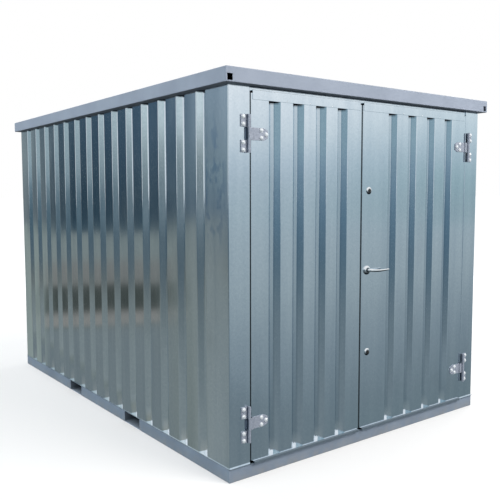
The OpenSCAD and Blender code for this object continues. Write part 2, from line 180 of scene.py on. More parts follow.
def stage_card(name, points, material):
    """A flat card through four corner points, which belongs to the studio."""
    mesh = bpy.data.meshes.new(name)
    mesh.from_pydata(points, [], [(0, 1, 2, 3)])
    mesh.materials.append(material)
    card = bpy.data.objects.new(name, mesh)
    bpy.context.scene.collection.objects.link(card)
    return card


def level_square(x_low, x_high, y_low, y_high, z):
    """Corner points of a level card, facing up."""
    return [(x_low, y_low, z), (x_high, y_low, z), (x_high, y_high, z), (x_low, y_high, z)]


floor_reach = 300
near_lift, far_lift = (2.5, 0.46), (9.0, 0.82)
sky_level = 0.62
floor_paint = bpy.data.materials.new("studio_floor")
graph = empty_graph(floor_paint)
floor_tone = wire(graph, "BsdfDiffuse", {"Color": (0.50, 0.50, 0.50, 1)})[0]
from_middle = wire(graph, "VectorMath", {0: wire(graph, "TexCoord")["Object"]}, operation="LENGTH")["Value"]
floor_lift = stretch(graph, from_middle, near_lift[0], far_lift[0], near_lift[1], far_lift[1])
floor_lift = maths(graph, "MULTIPLY", background_share(graph), floor_lift)
floor_glow = wire(graph, "Emission", {"Strength": floor_lift})[0]
wire(graph, "OutputMaterial", {"Surface": wire(graph, "AddShader", {0: floor_tone, 1: floor_glow})[0]})
stage_card("floor", level_square(-floor_reach, floor_reach, -floor_reach, floor_reach, 0), floor_paint)

sky = bpy.data.worlds.new("studio_sky")
bpy.context.scene.world = sky
graph = empty_graph(sky)
soft_light = wire(graph, "Background", {"Color": (0.93, 0.97, 1, 1), "Strength": sky_level})[0]
white_ground = wire(graph, "Background", {"Color": (1, 1, 1, 1), "Strength": 1.0})[0]
sky_mix = wire(graph, "MixShader", {0: background_share(graph), 1: soft_light, 2: white_ground})[0]
wire(graph, "OutputWorld", {"Surface": sky_mix})
print("floor", floor_reach * 2, "m square, sky level", sky_level)


# %% [markdown]
# ## Lamps
# Four broad lamps stand round the cabin and light the paint, the hinges and the boards. A lamp of this size
# gives soft shadows. Each is hidden from shiny faces, where it would show as a bright square.

# %% Lamps
def lamp(name, place, target, size, power, colour):
    """A square soft lamp that looks at a point. It leaves no spot in shiny faces."""
    data = bpy.data.lights.new(name, "AREA")
    data.shape = "SQUARE"
    data.size = size
    data.energy = power
    data.color = colour
    light = bpy.data.objects.new(name, data)
    light.location = place
    look = np.subtract(target, place)
    turn = math.atan2(-look[0], look[1])
    tilt = math.atan2(look[2], math.hypot(look[0], look[1]))
    light.rotation_euler = (math.pi / 2 + tilt, 0, turn)
    light.visible_glossy = False
    bpy.context.scene.collection.objects.link(light)


lamp_target, lamp_size = (0, 0, 1), 5
for name, place, power, colour in (("front_lamp", (2.5, -8, 6.5), 730, (1, 0.95, 0.90)),
                                   ("left_lamp", (-9, 0.5, 3), 295, (0.88, 0.98, 1)),
                                   ("right_lamp", (8, 2, 6), 320, (0.97, 0.98, 1)),
                                   ("rear_lamp", (-2, 9, 6), 320, (0.97, 0.98, 1))):
    lamp(name, place, lamp_target, lamp_size, power, colour)
    print(name, power, "W")


# %% [markdown]
# ## Reflection cards
# Bare metal has no colour of its own to show: it shows what stands round it. So, as in a product studio,
# cards that only shiny faces can see give it something to reflect. One lies on the ground like a yard, and
# six stand far off round it. Ramps of colours paint both kinds. The colours were worked back from the tones
# that the photograph's metal shows at a few heights: a tone, divided by the metal's own colour, belongs
# where the mirrored ray meets the card. Comparing renders then gave the last adjustments.

# %% Reflection cards
def glow_card(name, points, material):
    """A card that only shiny faces see."""
    card = stage_card(name, points, material)
    card.visible_camera = False
    card.visible_diffuse = False
    card.visible_shadow = False
    card.visible_transmission = False
    return card


def bands(tree, value, stops):
    """A colour that passes through stops of (place, colour), places running from 0 to 1."""
    node = tree.nodes.new("ShaderNodeValToRGB")
    elements = node.color_ramp.elements
    for where, _ in stops[1:-1]:
        elements.new(where)
    elements[0].position, elements[len(stops) - 1].position = stops[0][0], stops[-1][0]
    for element, (_, colour) in zip(elements, stops):
        element.color = (*colour, 1)
    tree.links.new(value, node.inputs[0])
    return node.outputs[0]


def nearness(tree, distance, half_way):
    """A share that is 0 at the wall, a half at half_way metres and close to 1 far off."""
    distance = maths(tree, "MAXIMUM", distance, 0.0)
    return maths(tree, "DIVIDE", distance, maths(tree, "ADD", distance, half_way))


mirror_half_way = 6.0
print("half of each ramp lies within", mirror_half_way, "m of a wall")

# %% [markdown]
# ## The yard that the metal mirrors
# Below eye level a wall mirrors the ground, so the ground card decides how its lower half looks. Nearness
# squeezes the distance from a wall into 0 to 1, because the ground close by fills most of the mirror image.
# The front mirrors open ground on its right and darker ground, like the foot of a hedge, on its left.

# %% Front yard
ground_glow = bpy.data.materials.new("ground_card")
graph = empty_graph(ground_glow)
place = wire(graph, "SeparateXYZ", {0: wire(graph, "TexCoord")["Object"]})
past_front = maths(graph, "SUBTRACT", maths(graph, "MULTIPLY", place["Y"], -1.0), half_length)
past_left = maths(graph, "SUBTRACT", maths(graph, "MULTIPLY", place["X"], -1.0), half_width)
past_right = maths(graph, "SUBTRACT", place["X"], half_width)
past_rear = maths(graph, "SUBTRACT", place["Y"], half_length)
beside = maths(graph, "SUBTRACT", maths(graph, "MAXIMUM", past_right, past_rear),
               maths(graph, "MULTIPLY", maths(graph, "MAXIMUM", past_front, 0.0), 2.0))
away = nearness(graph, maths(graph, "MAXIMUM", past_front, beside), mirror_half_way)
open_yard = bands(graph, away, [(0.0, (0.182, 0.237, 0.257)), (0.08, (0.197, 0.248, 0.273)),
                                (0.23, (0.258, 0.314, 0.346)), (0.47, (0.374, 0.438, 0.465)),
                                (0.76, (0.430, 0.500, 0.536))])
hedge_yard = bands(graph, away, [(0.0, (0.200, 0.244, 0.265)), (0.35, (0.165, 0.214, 0.243)),
                                 (0.57, (0.107, 0.169, 0.214)), (0.77, (0.110, 0.183, 0.247))])
hedge_edges = (0.2, -0.5)
front_yard = mixed(graph, stretch(graph, place["X"], *hedge_edges, 0, 1), open_yard, hedge_yard)
print("front yard starts", half_length, "m before the middle")

# %% [markdown]
# ## Soil on the left
# On the left, bands of soil run at a slant to the wall. Some hold only for a part of the wall, so the card
# has to know where on the wall a point of the ground is found mirrored. That place, seen_at, lies on the
# straight line from the eye's own mirror image to the point.

# %% Left yard
aside = nearness(graph, past_left, mirror_half_way)
left_far = bands(graph, aside, [(0.24, (0.250, 0.285, 0.285)), (0.412, (0.222, 0.253, 0.247)),
                                (0.508, (0.165, 0.179, 0.166)), (0.608, (0.107, 0.148, 0.170)),
                                (0.714, (0.081, 0.121, 0.153)), (0.80, (0.088, 0.145, 0.177))])
left_near = bands(graph, aside, [(0.24, (0.184, 0.222, 0.230)), (0.41, (0.155, 0.190, 0.200)),
                                 (0.55, (0.115, 0.155, 0.178)), (0.80, (0.113, 0.156, 0.180))])
ahead = maths(graph, "DIVIDE", past_front, maths(graph, "MAXIMUM", past_left, 0.1))
near_edges = (0.15, 0.42)
left_yard = mixed(graph, stretch(graph, ahead, *near_edges, 0, 1), left_far, left_near)

eye_aside = -half_width - eye[0]
eye_away = maths(graph, "ADD", maths(graph, "MAXIMUM", past_left, 0.0), eye_aside)
seen_at = maths(graph, "DIVIDE", maths(graph, "SUBTRACT", place["Y"], eye[1]), eye_away)
seen_at = maths(graph, "ADD", maths(graph, "MULTIPLY", seen_at, eye_aside), eye[1])
soil_start, soil_slant = 1.95, 0.45
slanted = maths(graph, "MULTIPLY", maths(graph, "SUBTRACT", past_left, soil_start), soil_slant)
soil_line = maths(graph, "ADD", place["Y"], slanted)
gravel, clay, trench = (0.197, 0.231, 0.239), (0.290, 0.278, 0.256), (0.062, 0.072, 0.066)
earth, grass, navy = (0.222, 0.222, 0.208), (0.235, 0.270, 0.262), (0.042, 0.077, 0.103)
soil = bands(graph, nearness(graph, soil_line, mirror_half_way),
             [(0.0, gravel), (0.255, gravel), (0.272, (0.150, 0.185, 0.180)), (0.290, clay), (0.335, clay),
              (0.372, trench), (0.492, trench), (0.512, earth), (0.615, earth), (0.66, grass), (0.785, grass),
              (0.80, navy)])
plain_far, plain_near, pale_end_soil = (0.22, 0.25, 0.235, 1), (0.28, 0.315, 0.315, 1), (0.30, 0.345, 0.32, 1)
plain_edges, bands_end, pale_edges, wall_edges = (-1.15, -1.35), (-0.80, -1.12), (1.00, 1.12), (-1.50, -1.44)
plain_soil = mixed(graph, stretch(graph, seen_at, *plain_edges, 0, 1), plain_far, plain_near)
soil = mixed(graph, stretch(graph, seen_at, *bands_end, 0, 1), soil, plain_soil)
soil = mixed(graph, stretch(graph, seen_at, *pale_edges, 0, 1), soil, pale_end_soil)
left_yard = mixed(graph, stretch(graph, seen_at, *wall_edges, 0, 1), left_yard, soil)
print("soil bands slant by", soil_slant, "m in each metre")

# %% [markdown]
# ## Laying the ground card
# A point of the ground belongs to the wall that mirrors it. The line between the two yards runs out from
# the near left corner, and it is blurred, so that no edge shows in the metal. The card lies just above the
# floor.

# %% Ground card
split_slope, split_blur = 0.75, 0.4
turned = maths(graph, "MULTIPLY", maths(graph, "MAXIMUM", past_left, 0.0), split_slope)
turned = stretch(graph, maths(graph, "SUBTRACT", turned, past_front), -split_blur, split_blur, 0, 1)
on_left = maths(graph, "MULTIPLY", turned, stretch(graph, past_left, 0, 0.1, 0, 1))
ground_tone = mixed(graph, on_left, front_yard, left_yard)
wire(graph, "OutputMaterial", {"Surface": wire(graph, "Emission", {"Color": ground_tone})[0]})
ground_reach, ground_rise = 150, 0.004
ground_square = level_square(-ground_reach, ground_reach, -ground_reach, ground_reach, ground_rise)
glow_card("ground_card", ground_square, ground_glow)
print("ground card", ground_reach * 2, "m square")


# %% [markdown]
# ## Standing cards
# Above eye level the metal mirrors what stands far off: a dark belt past the rear left, haze and trees to
# the left, slate to the front left, mist and cloud to the front right. Each card has two lists of colours
# by height, one for each end, and passes from one to the other along its length. The gaps between the cards
# let the bends of the sheet catch the white sky.

# %% Standing cards
def standing_card(name, start, end, turn, start_stops, end_stops, high=12):
    """An upright card between two ground points. Stops are (height, colour). The first list holds up to the
    share turn[0] of the way along, the second one from turn[1] on."""
    material = bpy.data.materials.new(name)
    graph = empty_graph(material)
    where = wire(graph, "TexCoord")["Object"]
    run = np.subtract(end, start)
    reach = float(run @ run)
    course = (*(run / reach).tolist(), 0)
    along = wire(graph, "VectorMath", {0: where, 1: course}, operation="DOT_PRODUCT")["Value"]
    along = stretch(graph, maths(graph, "SUBTRACT", along, float(run @ start) / reach), *turn, 0, 1)
    rise = maths(graph, "DIVIDE", wire(graph, "SeparateXYZ", {0: where})["Z"], float(high))
    tones = [bands(graph, rise, [(height / high, colour) for height, colour in stops])
             for stops in (start_stops, end_stops)]
    tone = mixed(graph, along, *tones)
    wire(graph, "OutputMaterial", {"Surface": wire(graph, "Emission", {"Color": tone})[0]})
    glow_card(name, [(*start, 0), (*end, 0), (*end, high), (*start, high)], material)


steel = [(0, (0.138, 0.188, 0.236)), (3, (0.212, 0.283, 0.318)), (8, (0.305, 0.385, 0.450))]
navy_near = [(1, (0.039, 0.069, 0.094)), (6, (0.067, 0.114, 0.162))]
navy_far = [(2, (0.026, 0.053, 0.076)), (6, (0.042, 0.079, 0.115))]
pale_end = [(0, (0.190, 0.220, 0.230)), (4, (0.270, 0.320, 0.330))]
standing_card("corner_card", (-30, 30), (-20, 30), (0.71, 1.0), steel, navy_near)
standing_card("rear_left_card", (-20, 30), (-12.3, 30), (0.0, 1.0), navy_near, navy_far)
standing_card("far_end_card", (-12.3, 30), (-3, 30), (0.0, 0.1), navy_far, pale_end)
haze = [(0.3, (0.228, 0.290, 0.325)), (1.5, (0.200, 0.248, 0.268)), (2.7, (0.195, 0.243, 0.256)),
        (3.85, (0.320, 0.380, 0.390)), (5.2, (0.750, 0.830, 0.840))]
trees = [(0.25, (0.074, 0.128, 0.162)), (1.2, (0.088, 0.148, 0.186)), (1.67, (0.108, 0.176, 0.215)),
         (2.1, (0.215, 0.290, 0.330)), (2.7, (0.375, 0.465, 0.490))]
standing_card("left_card", (-26, -16), (-29, -1), (0.08, 0.67), haze, trees)
slate = [(0.6, (0.122, 0.206, 0.273)), (1.66, (0.162, 0.253, 0.325)), (2.65, (0.239, 0.335, 0.418)),
         (3.6, (0.310, 0.430, 0.490))]
standing_card("front_left_card", (-25, -17), (-7, -30), (0.0, 1.0), slate, slate)
mist = [(0.7, (0.442, 0.529, 0.564)), (1.65, (0.475, 0.557, 0.600)), (2.56, (0.530, 0.608, 0.665)),
        (3.47, (0.621, 0.700, 0.752)), (4.66, (0.809, 0.855, 0.871)), (5.6, (0.875, 0.910, 0.935)),
        (7.5, (1, 1, 1))]
cloud = [(0.8, (0.351, 0.451, 0.484)), (1.62, (0.351, 0.469, 0.504)), (2.42, (0.386, 0.516, 0.549)),
         (3.2, (0.475, 0.586, 0.635)), (4.25, (0.613, 0.709, 0.752)), (5.05, (0.720, 0.800, 0.827)),
         (7.5, (1, 1, 1))]
standing_card("front_right_card", (6, -34), (36, -10), (0.45, 0.62), mist, cloud, 8)


# %% [markdown]
# ## Surfaces from arrays
# A thin sheet is two grids of points, one for each face, closed round its edges. The same builder can leave
# out some cells of the grid, which makes a square hole with proper walls. Thick plates and domes are rings
# of an outline stacked on each other. Both are worked out as whole arrays, and the sign of the volume turns
# the faces outwards.

# %% Closed solids
def outwards(points, faces):
    """Turns all faces round if the volume they close, summed as pyramids over the origin, is negative."""
    first, second, third, fourth = (points[faces[:, k]] for k in range(4))
    pyramids = np.einsum("ij,ij->i", first, np.cross(second, third) + np.cross(third, fourth))
    return points, faces if pyramids.sum() > 0 else faces[:, ::-1]


def closed_sheet(face, back, keep=None):
    """Closes two n x m grids into a solid: the kept cells of both, and a wall at each edge of a kept cell."""
    rows, columns = face.shape[:2]
    keep = np.ones((rows - 1, columns - 1), bool) if keep is None else keep
    index = np.arange(rows * columns).reshape(rows, columns)
    cell = np.stack([index[:-1, :-1], index[:-1, 1:], index[1:, 1:], index[1:, :-1]], -1)
    beside = np.pad(keep, 1)
    open_sides = [~beside[:-2, 1:-1], ~beside[1:-1, 2:], ~beside[2:, 1:-1], ~beside[1:-1, :-2]]
    faces = [cell[keep], (cell[keep] + rows * columns)[:, ::-1]]
    for side, is_open in enumerate(open_sides):
        start = cell[keep & is_open][:, side]
        end = cell[keep & is_open][:, (side + 1) % 4]
        faces.append(np.stack([end, start, start + rows * columns, end + rows * columns], 1))
    faces = np.concatenate(faces)
    points = np.concatenate([face.reshape(-1, 3), back.reshape(-1, 3)])
    used, faces = np.unique(faces, return_inverse=True)
    return outwards(points[used], faces.reshape(-1, 4))


print("one cell closes with", len(closed_sheet(np.zeros((2, 2, 3)), np.ones((2, 2, 3)))[1]), "faces")


def joined(*solids):
    """Several solids as one list of points and one of faces."""
    starts = np.cumsum([0] + [len(points) for points, _ in solids[:-1]])
    points = np.concatenate([points for points, _ in solids])
    return points, np.concatenate([faces + start for (_, faces), start in zip(solids, starts)])


# %% [markdown]
# ## From arrays to an object
# The arrays go into a mesh in one call. A piece may be several solids with a finish each. Its object stays
# at the origin, with its place in the mesh, so that a pattern on Object coordinates fits on to its
# neighbour's.

# %% Mesh objects
def piece(name, solids, finishes, smooth_below=40):
    """Puts solids, one for each finish, into a mesh object at the origin.

    Bends of less than smooth_below degrees are shaded smooth.
    """
    points, faces = joined(*solids)
    mesh = bpy.data.meshes.new(name)
    mesh.from_pydata(points.tolist(), [], faces.tolist())
    for finish in finishes:
        mesh.materials.append(finish)
    finish_of = np.repeat(np.arange(len(solids)), [len(solid[1]) for solid in solids])
    mesh.polygons.foreach_set("material_index", finish_of.astype(np.int32))
    mesh.polygons.foreach_set("use_smooth", np.ones(len(faces), bool))
    mesh.set_sharp_from_angle(angle=math.radians(smooth_below))
    made = bpy.data.objects.new(name, mesh)
    bpy.context.scene.collection.objects.link(made)
    return made


print("pieces so far", len(bpy.data.meshes) - len(frame["nodes"]), "besides the packed nodes")

# %% [markdown]
# ## Folding a sheet
# A press brake bends sheet round a nose of known radius. Seen end on, a folded piece is therefore a line of
# straight stretches and arcs. Each arc gets a close neighbour on either side, so that smooth shading stays
# inside the bend and the flats stay truly flat.

# %% Folded lines
def unit(vectors):
    """Vectors shortened or stretched to length one."""
    return vectors / np.linalg.norm(vectors, axis=-1, keepdims=True)


def left_of(vectors):
    """Vectors turned a quarter to the left."""
    return np.stack([-vectors[..., 1], vectors[..., 0]], -1)


def rounded(points, radius, steps=5, guard=0.0012):
    """A line through points with its inner corners turned into arcs.

    At a corner that turns by the angle a, the arc starts radius x tan(a/2) before it and goes round a centre
    that lies radius to the side. Returns the points and the unit normals to the left of the line.
    """
    points = np.asarray(points, float)
    before, after = unit(points[1:-1] - points[:-2]), unit(points[2:] - points[1:-1])
    turn = np.arctan2(before[:, 0] * after[:, 1] - before[:, 1] * after[:, 0], (before * after).sum(1))
    reach = radius * np.tan(np.abs(turn) / 2)
    start, end = points[1:-1] - before * reach[:, None], points[1:-1] + after * reach[:, None]
    centre = start + left_of(before) * (np.sign(turn) * radius)[:, None]
    angle = turn[:, None] * np.linspace(0, 1, steps + 1)
    cosine, sine = np.cos(angle)[..., None], np.sin(angle)[..., None]
    spoke, side = (start - centre)[:, None], left_of(before)[:, None]
    arc = centre[:, None] + spoke * cosine + left_of(spoke) * sine
    normal = side * cosine + left_of(side) * sine
    guards = [(start - before * guard)[:, None], arc, (end + after * guard)[:, None]]
    line = np.concatenate([points[:1], np.concatenate(guards, 1).reshape(-1, 2), points[-1:]])
    normals = np.concatenate([normal[:, :1], normal, normal[:, -1:]], 1).reshape(-1, 2)
    normals = np.concatenate([normals[:1], normals, normals[-1:]])
    fresh = np.append(True, np.linalg.norm(np.diff(line, axis=0), axis=1) > 1e-6)
    return line[fresh], normals[fresh]


def folded(points, thickness, radius):
    """Both faces of a folded sheet seen end on: the rounded line, and that line moved left by thickness."""
    line, normals = rounded(points, radius)
    return line, line + normals * thickness


print("a square bend has", len(rounded([(0, 0), (1, 0), (1, 1)], 0.1)[0]), "points")

# %% [markdown]
# ## Standing and lying pieces
# Posts and walls are folded in plan and stand up. Rails are folded in section and lie along a side. Both
# kinds are written in the side's own coordinates: along it, inwards from the outer wall face, and up. One
# function then turns those into the cabin's frame for the front, rear, left or right.

# %% Sides of the cabin
def on_side(side, grid):
    """Turns a grid of (along, inwards, up) into the frame. Along runs to the right, seen from outside."""
    along, inwards, up = np.moveaxis(grid, -1, 0)
    placed = {"front": (along, inwards - half_length), "rear": (-along, half_length - inwards),
              "left": (inwards - half_width, -along), "right": (half_width - inwards, along)}
    return np.stack([*placed[side], up], -1)


def standing(line, levels):
    """A plan line carried straight up: row k is the line at level k."""
    levels = np.asarray(levels, float)
    grid = np.empty((len(levels), len(line), 3))
    grid[..., :2] = line
    grid[..., 2] = levels[:, None]
    return grid


uncut = 9.0


def lying(section, shares, half, mitre, middle, longest):
    """A section of (inwards, up) carried along: row k is at a share of half, shortened inwards by 45 degrees
    if mitred and cut off at longest."""
    shares = np.asarray(shares, float)
    grid = np.empty((len(shares), len(section), 3))
    grid[..., 1:] = section
    grid[..., 0] = middle + shares[:, None] * np.minimum(half - (section[:, 0] if mitre else 0), longest)
    return grid


def standing_sheet(side, points, thickness, radius, levels):
    """A folded sheet that stands on one side of the cabin."""
    face, back = folded(points, thickness, radius)
    return closed_sheet(on_side(side, standing(face, levels)), on_side(side, standing(back, levels)))


def lying_rail(side, points, thickness, radius, shares, half, mitre=False, hole=None, middle=0.0,
               longest=uncut):
    """A folded rail along one side. hole(along, inwards, up) is true in the cells that are left out."""
    lines = folded(points, thickness, radius)
    face, back = (lying(line, shares, half, mitre, middle, longest) for line in lines)
    cell_middle = (face[:-1, :-1] + face[1:, 1:]) / 2
    keep = None if hole is None else ~hole(*np.moveaxis(cell_middle, -1, 0))
    return closed_sheet(on_side(side, face), on_side(side, back), keep)


print("foot of the front", on_side("front", np.zeros(3)), "and of the left", on_side("left", np.zeros(3)))

# %% [markdown]
# ## Tools for finishes
# Every finish starts from one Principled shader and Object coordinates, which stay on the piece when it
# moves. Noise varies its colour and gloss, and a bump, whose height is given in metres, its fine relief.

# %% Finish tools
def plain_finish(name, metallic, roughness):
    """A new material with one Principled shader. Returns it, its tree, the shader and object coordinates."""
    material = bpy.data.materials.new(name)
    graph = empty_graph(material)
    shader = graph.nodes.new("ShaderNodeBsdfPrincipled")
    shader.inputs["Metallic"].default_value = metallic
    shader.inputs["Roughness"].default_value = roughness
    wire(graph, "OutputMaterial", {"Surface": shader.outputs[0]})
    return material, graph, shader, wire(graph, "TexCoord")["Object"]


def fill(graph, shader, tone, gloss):
    """Links a colour and a roughness into the shader."""
    graph.links.new(tone, shader.inputs["Base Color"])
    graph.links.new(gloss, shader.inputs["Roughness"])


def noise(graph, where, scale, detail=3.0, squash=(1, 1, 1)):
    """Soft noise, drawn out along the axes where squash is small."""
    shrunk = wire(graph, "Mapping", {"Vector": where, "Scale": squash})[0]
    return wire(graph, "TexNoise", {"Vector": shrunk, "Scale": scale, "Detail": detail})[0]


def bumped(graph, shader, height, distance):
    """Feeds a height into the shader's normal. Distance is the real height of a full step, in metres."""
    dent = wire(graph, "Bump", {"Height": height, "Distance": distance, "Strength": 1.0})[0]
    graph.links.new(dent, shader.inputs["Normal"])


print("finish tools", fill.__name__, noise.__name__, bumped.__name__)

# %% [markdown]
# ## Painted shade and highlight in the recesses
# In the recesses, painted shade darkens the sheet just under the rim or the top plate and, on the doors, the
# recess floors, and a painted highlight lightens the foot. The pattern reads how deep a point lies behind
# the outer face, so the ridges keep their own colour.

# %% Recess painted shade and highlight
# Depths and colours of the painted shade and the painted highlight in the recesses.
flank_depths, floor_depths, foot_highlight_high, recess_shade_share = (0.003, 0.012), (0.018, 0.025), 0.09, 0.9
floor_shade_tone, recess_shade_tone, foot_highlight_tone = srgb(22, 92, 120), srgb(30, 38, 46), srgb(250, 252, 255)


def recess_painted_light(graph, where, height, reach, floor_shade_share):
    """Three shares of painted light in a recess: painted shade just under a height, painted shade on its
    floor and a painted highlight at its foot. The depth behind the outer face tells a recess from a ridge."""
    place = wire(graph, "SeparateXYZ", {0: where})
    across = maths(graph, "SUBTRACT", half_width, maths(graph, "ABSOLUTE", place["X"]))
    along = maths(graph, "SUBTRACT", half_length, maths(graph, "ABSOLUTE", place["Y"]))
    depth = maths(graph, "MINIMUM", across, along)
    inside = stretch(graph, depth, *flank_depths, 0, 1)
    recess_top_shade = maths(graph, "MULTIPLY", inside, stretch(graph, place["Z"], height - reach, height, 0, recess_shade_share))
    low = stretch(graph, place["Z"], wall_foot, wall_foot + foot_highlight_high, 1, 0)
    foot_highlight = maths(graph, "MULTIPLY", inside, low)
    return recess_top_shade, stretch(graph, depth, *floor_depths, 0, floor_shade_share), foot_highlight


# The painted shade and highlight start this far behind the outer face.
print("grime starts", flank_depths[0], "m behind the face")

# %% [markdown]
# ## Galvanised sheet
# Zinc freezes on the steel in flat crystals, each a shade lighter or darker than the next, and the rolls
# leave faint streaks along the sheet. A cell pattern gives the crystals, stretched noise the streaks, and a
# slow noise the slight waves of thin plate that make reflections swim. Handling leaves dull smudges, which
# are a little rougher and darker.

# %% Galvanised finish
crystal_share, crystals_in_metre, streak_scale = 0.16, 95.0, 14.0
wave_scale, wave_high, stain_tone = 4.0, 0.0016, srgb(148, 178, 208)
stain_squash, stain_in, stain_up = 0.3, 0.12, 1.52
# Reach of the painted shade under the rim and under the top plates, and its share on the door recess floors.
wall_shade_reach, door_shade_reach, door_floor_shade = 0.014, 0.016, 0.20


def galvanised(name, pale, dark, roughness=0.12, smudge=0.16, stained_at=None, shade_and_highlight_under=None):
    """Zinc-coated sheet: crystals, streaks along Z, slow waves, smudges, bluish stains round one place, and
    painted shade and a painted highlight in its recesses."""
    material, graph, shader, where = plain_finish(name, 1.0, roughness)
    crystal = wire(graph, "TexVoronoi", {"Vector": where, "Scale": crystals_in_metre})["Color"]
    crystal = wire(graph, "SeparateColor", {0: crystal})[0]
    streak = noise(graph, where, streak_scale, 4.0, (1, 1, 0.05))
    cloud = noise(graph, where, 2.3, 4.0)
    patch = stretch(graph, noise(graph, where, 1.7, 2.0), 0.52, 0.66, 0, 1)
    smudge_and_shade = stretch(graph, noise(graph, where, 7.0, 2.0, (1, 1, 0.6)), 0.45, 0.75, 0, smudge)
    smudge_and_shade = maths(graph, "MULTIPLY", smudge_and_shade, patch)
    crystal = maths(graph, "MULTIPLY", crystal, crystal_share)
    tone = maths(graph, "ADD", crystal, maths(graph, "MULTIPLY", streak, 1 - crystal_share))
    base = mixed(graph, stretch(graph, tone, 0.25, 0.75, 0, 1), dark, pale)
    dull = mixed(graph, smudge_and_shade, base, tuple(c * 0.55 for c in dark[:3]) + (1,))
    if stained_at:
        flat_where = wire(graph, "VectorMath", {0: where, 1: (1, 1, stain_squash)}, operation="MULTIPLY")[0]
        reach = wire(graph, "VectorMath", {0: flat_where, 1: stained_at}, operation="DISTANCE")["Value"]
        blot = stretch(graph, noise(graph, where, 22.0, 5.0, (1, 1, 0.55)), 0.50, 0.60, 0, 0.55)
        blot = maths(graph, "MULTIPLY", blot, stretch(graph, reach, 0.06, 0.12, 1, 0))
        dull = mixed(graph, blot, dull, stain_tone)
    # Painted shade under the rim or the top plate and on the recess floors, and a painted highlight at the
    # foot.
    if shade_and_highlight_under:
        recess_top_shade, floor_shade, foot_highlight = recess_painted_light(graph, where, *shade_and_highlight_under)
        for share, painted_tone in ((floor_shade, floor_shade_tone), (recess_top_shade, recess_shade_tone), (foot_highlight, foot_highlight_tone)):
            dull = mixed(graph, share, dull, painted_tone)
    gloss = stretch(graph, cloud, 0.3, 0.7, roughness - 0.03, roughness + 0.03)
    fill(graph, shader, dull, maths(graph, "ADD", gloss, maths(graph, "MULTIPLY", smudge_and_shade, 0.4)))
    bumped(graph, shader, noise(graph, where, wave_scale, 1.0, (1, 1, 0.5)), wave_high)
    return material


zinc_pale, zinc_dark = srgb(226, 235, 242), srgb(206, 218, 228)
stain_place = (-half_width, -half_length + stain_in, stain_up * stain_squash)
sheet_metal = galvanised("galvanised_sheet", zinc_pale, zinc_dark, stained_at=stain_place)
wall_metal = galvanised("galvanised_wall", zinc_pale, zinc_dark, stained_at=stain_place,
                        shade_and_highlight_under=(wall_head, wall_shade_reach, 0.0))
rail_foot = float(corners("left_door_top_rail")[0][2])
door_metal = galvanised("galvanised_door", zinc_pale, zinc_dark,
                        shade_and_highlight_under=(rail_foot, door_shade_reach, door_floor_shade))
roof_metal = galvanised("galvanised_roof", srgb(205, 214, 221), srgb(180, 192, 201), 0.38, 0.35)
print("finishes", sheet_metal.name, wall_metal.name, door_metal.name, roof_metal.name)


# %% [markdown]
# ## Paint
# The rim and the base are folded from thicker steel and sprayed with a matt lavender grey. Sprayed paint
# has a faint orange-peel skin and dries a touch uneven. Near the ground the base also gathers dust. The fork
# pockets are painted dark inside as painted shade, with painted light on their floors at the mouths, and
# painted shade darkens the underside of the rim.

# %% Painted finishes
# Painted light on the floors of the fork pockets at their mouths.
mouth_light_reach, mouth_light_floor, mouth_light_side_share = 0.10, (0.004, 0.012), 0.35
matt_shine, peel_scale, peel_high = 0.15, 420.0, 0.00012
# Dust on the base, and painted shade on the rim's underside: shares, softness, start and colours.
dust_share, underside_shade_share, underside_shade_soft, underside_shade_start = 0.55, 0.85, 0.002, 0.001
ground_dust, underside_shade_tone = srgb(150, 148, 142), srgb(58, 64, 72)


def mouth_painted_light(graph, where):
    """A share of painted light in a fork pocket: 1 on its floor at the mouth, less on its sides."""
    place = wire(graph, "SeparateXYZ", {0: where})
    across = maths(graph, "ABSOLUTE", place["X"])
    near = stretch(graph, across, half_width - mouth_light_reach, half_width, 0, 1)
    return maths(graph, "MULTIPLY", near, stretch(graph, place["Z"], *mouth_light_floor, 1, mouth_light_side_share))


def painted(name, colour, worn_and_shaded, roughness=0.5, dust_height=None, shade_below=None, mouth_light_tone=None):
    """Matt sprayed paint, slightly cloudy, with orange peel, dust below dust_height, painted light in a
    mouth, and painted shade on an underside."""
    material, graph, shader, where = plain_finish(name, 0.0, roughness)
    shader.inputs["Specular IOR Level"].default_value = matt_shine
    rise = wire(graph, "SeparateXYZ", {0: where})["Z"]
    cloud = noise(graph, where, 6.0, 6.0)
    tone = mixed(graph, stretch(graph, cloud, 0.3, 0.7, 0, 1), worn_and_shaded, colour)
    scuff = stretch(graph, noise(graph, where, 60.0, 4.0, (0.25, 0.25, 1)), 0.66, 0.78, 0, 0.35)
    tone = mixed(graph, scuff, tone, worn_and_shaded)
    if dust_height:
        low = stretch(graph, rise, 0, dust_height, dust_share, 0)
        dusty = maths(graph, "MULTIPLY", low, stretch(graph, noise(graph, where, 25.0, 5.0), 0.35, 0.7, 0, 1))
        tone = mixed(graph, dusty, tone, ground_dust)
    # Painted light on the floor of a fork pocket near its mouth.
    if mouth_light_tone:
        tone = mixed(graph, mouth_painted_light(graph, where), tone, mouth_light_tone)
    # Painted shade on the underside of the rim.
    if shade_below:
        underside_shade = stretch(graph, rise, shade_below, shade_below + underside_shade_soft, underside_shade_share, 0)
        tone = mixed(graph, underside_shade, tone, underside_shade_tone)
    fill(graph, shader, tone, stretch(graph, cloud, 0.3, 0.7, roughness - 0.07, roughness + 0.09))
    bumped(graph, shader, noise(graph, where, peel_scale, 2.0), peel_high)
    return material


rim_paint = painted("rim_paint", srgb(152, 162, 178), srgb(143, 153, 169),
                    shade_below=wall_head + underside_shade_start)
base_paint = painted("base_paint", srgb(132, 146, 163), srgb(119, 132, 148), 0.55, dust_height=0.06)
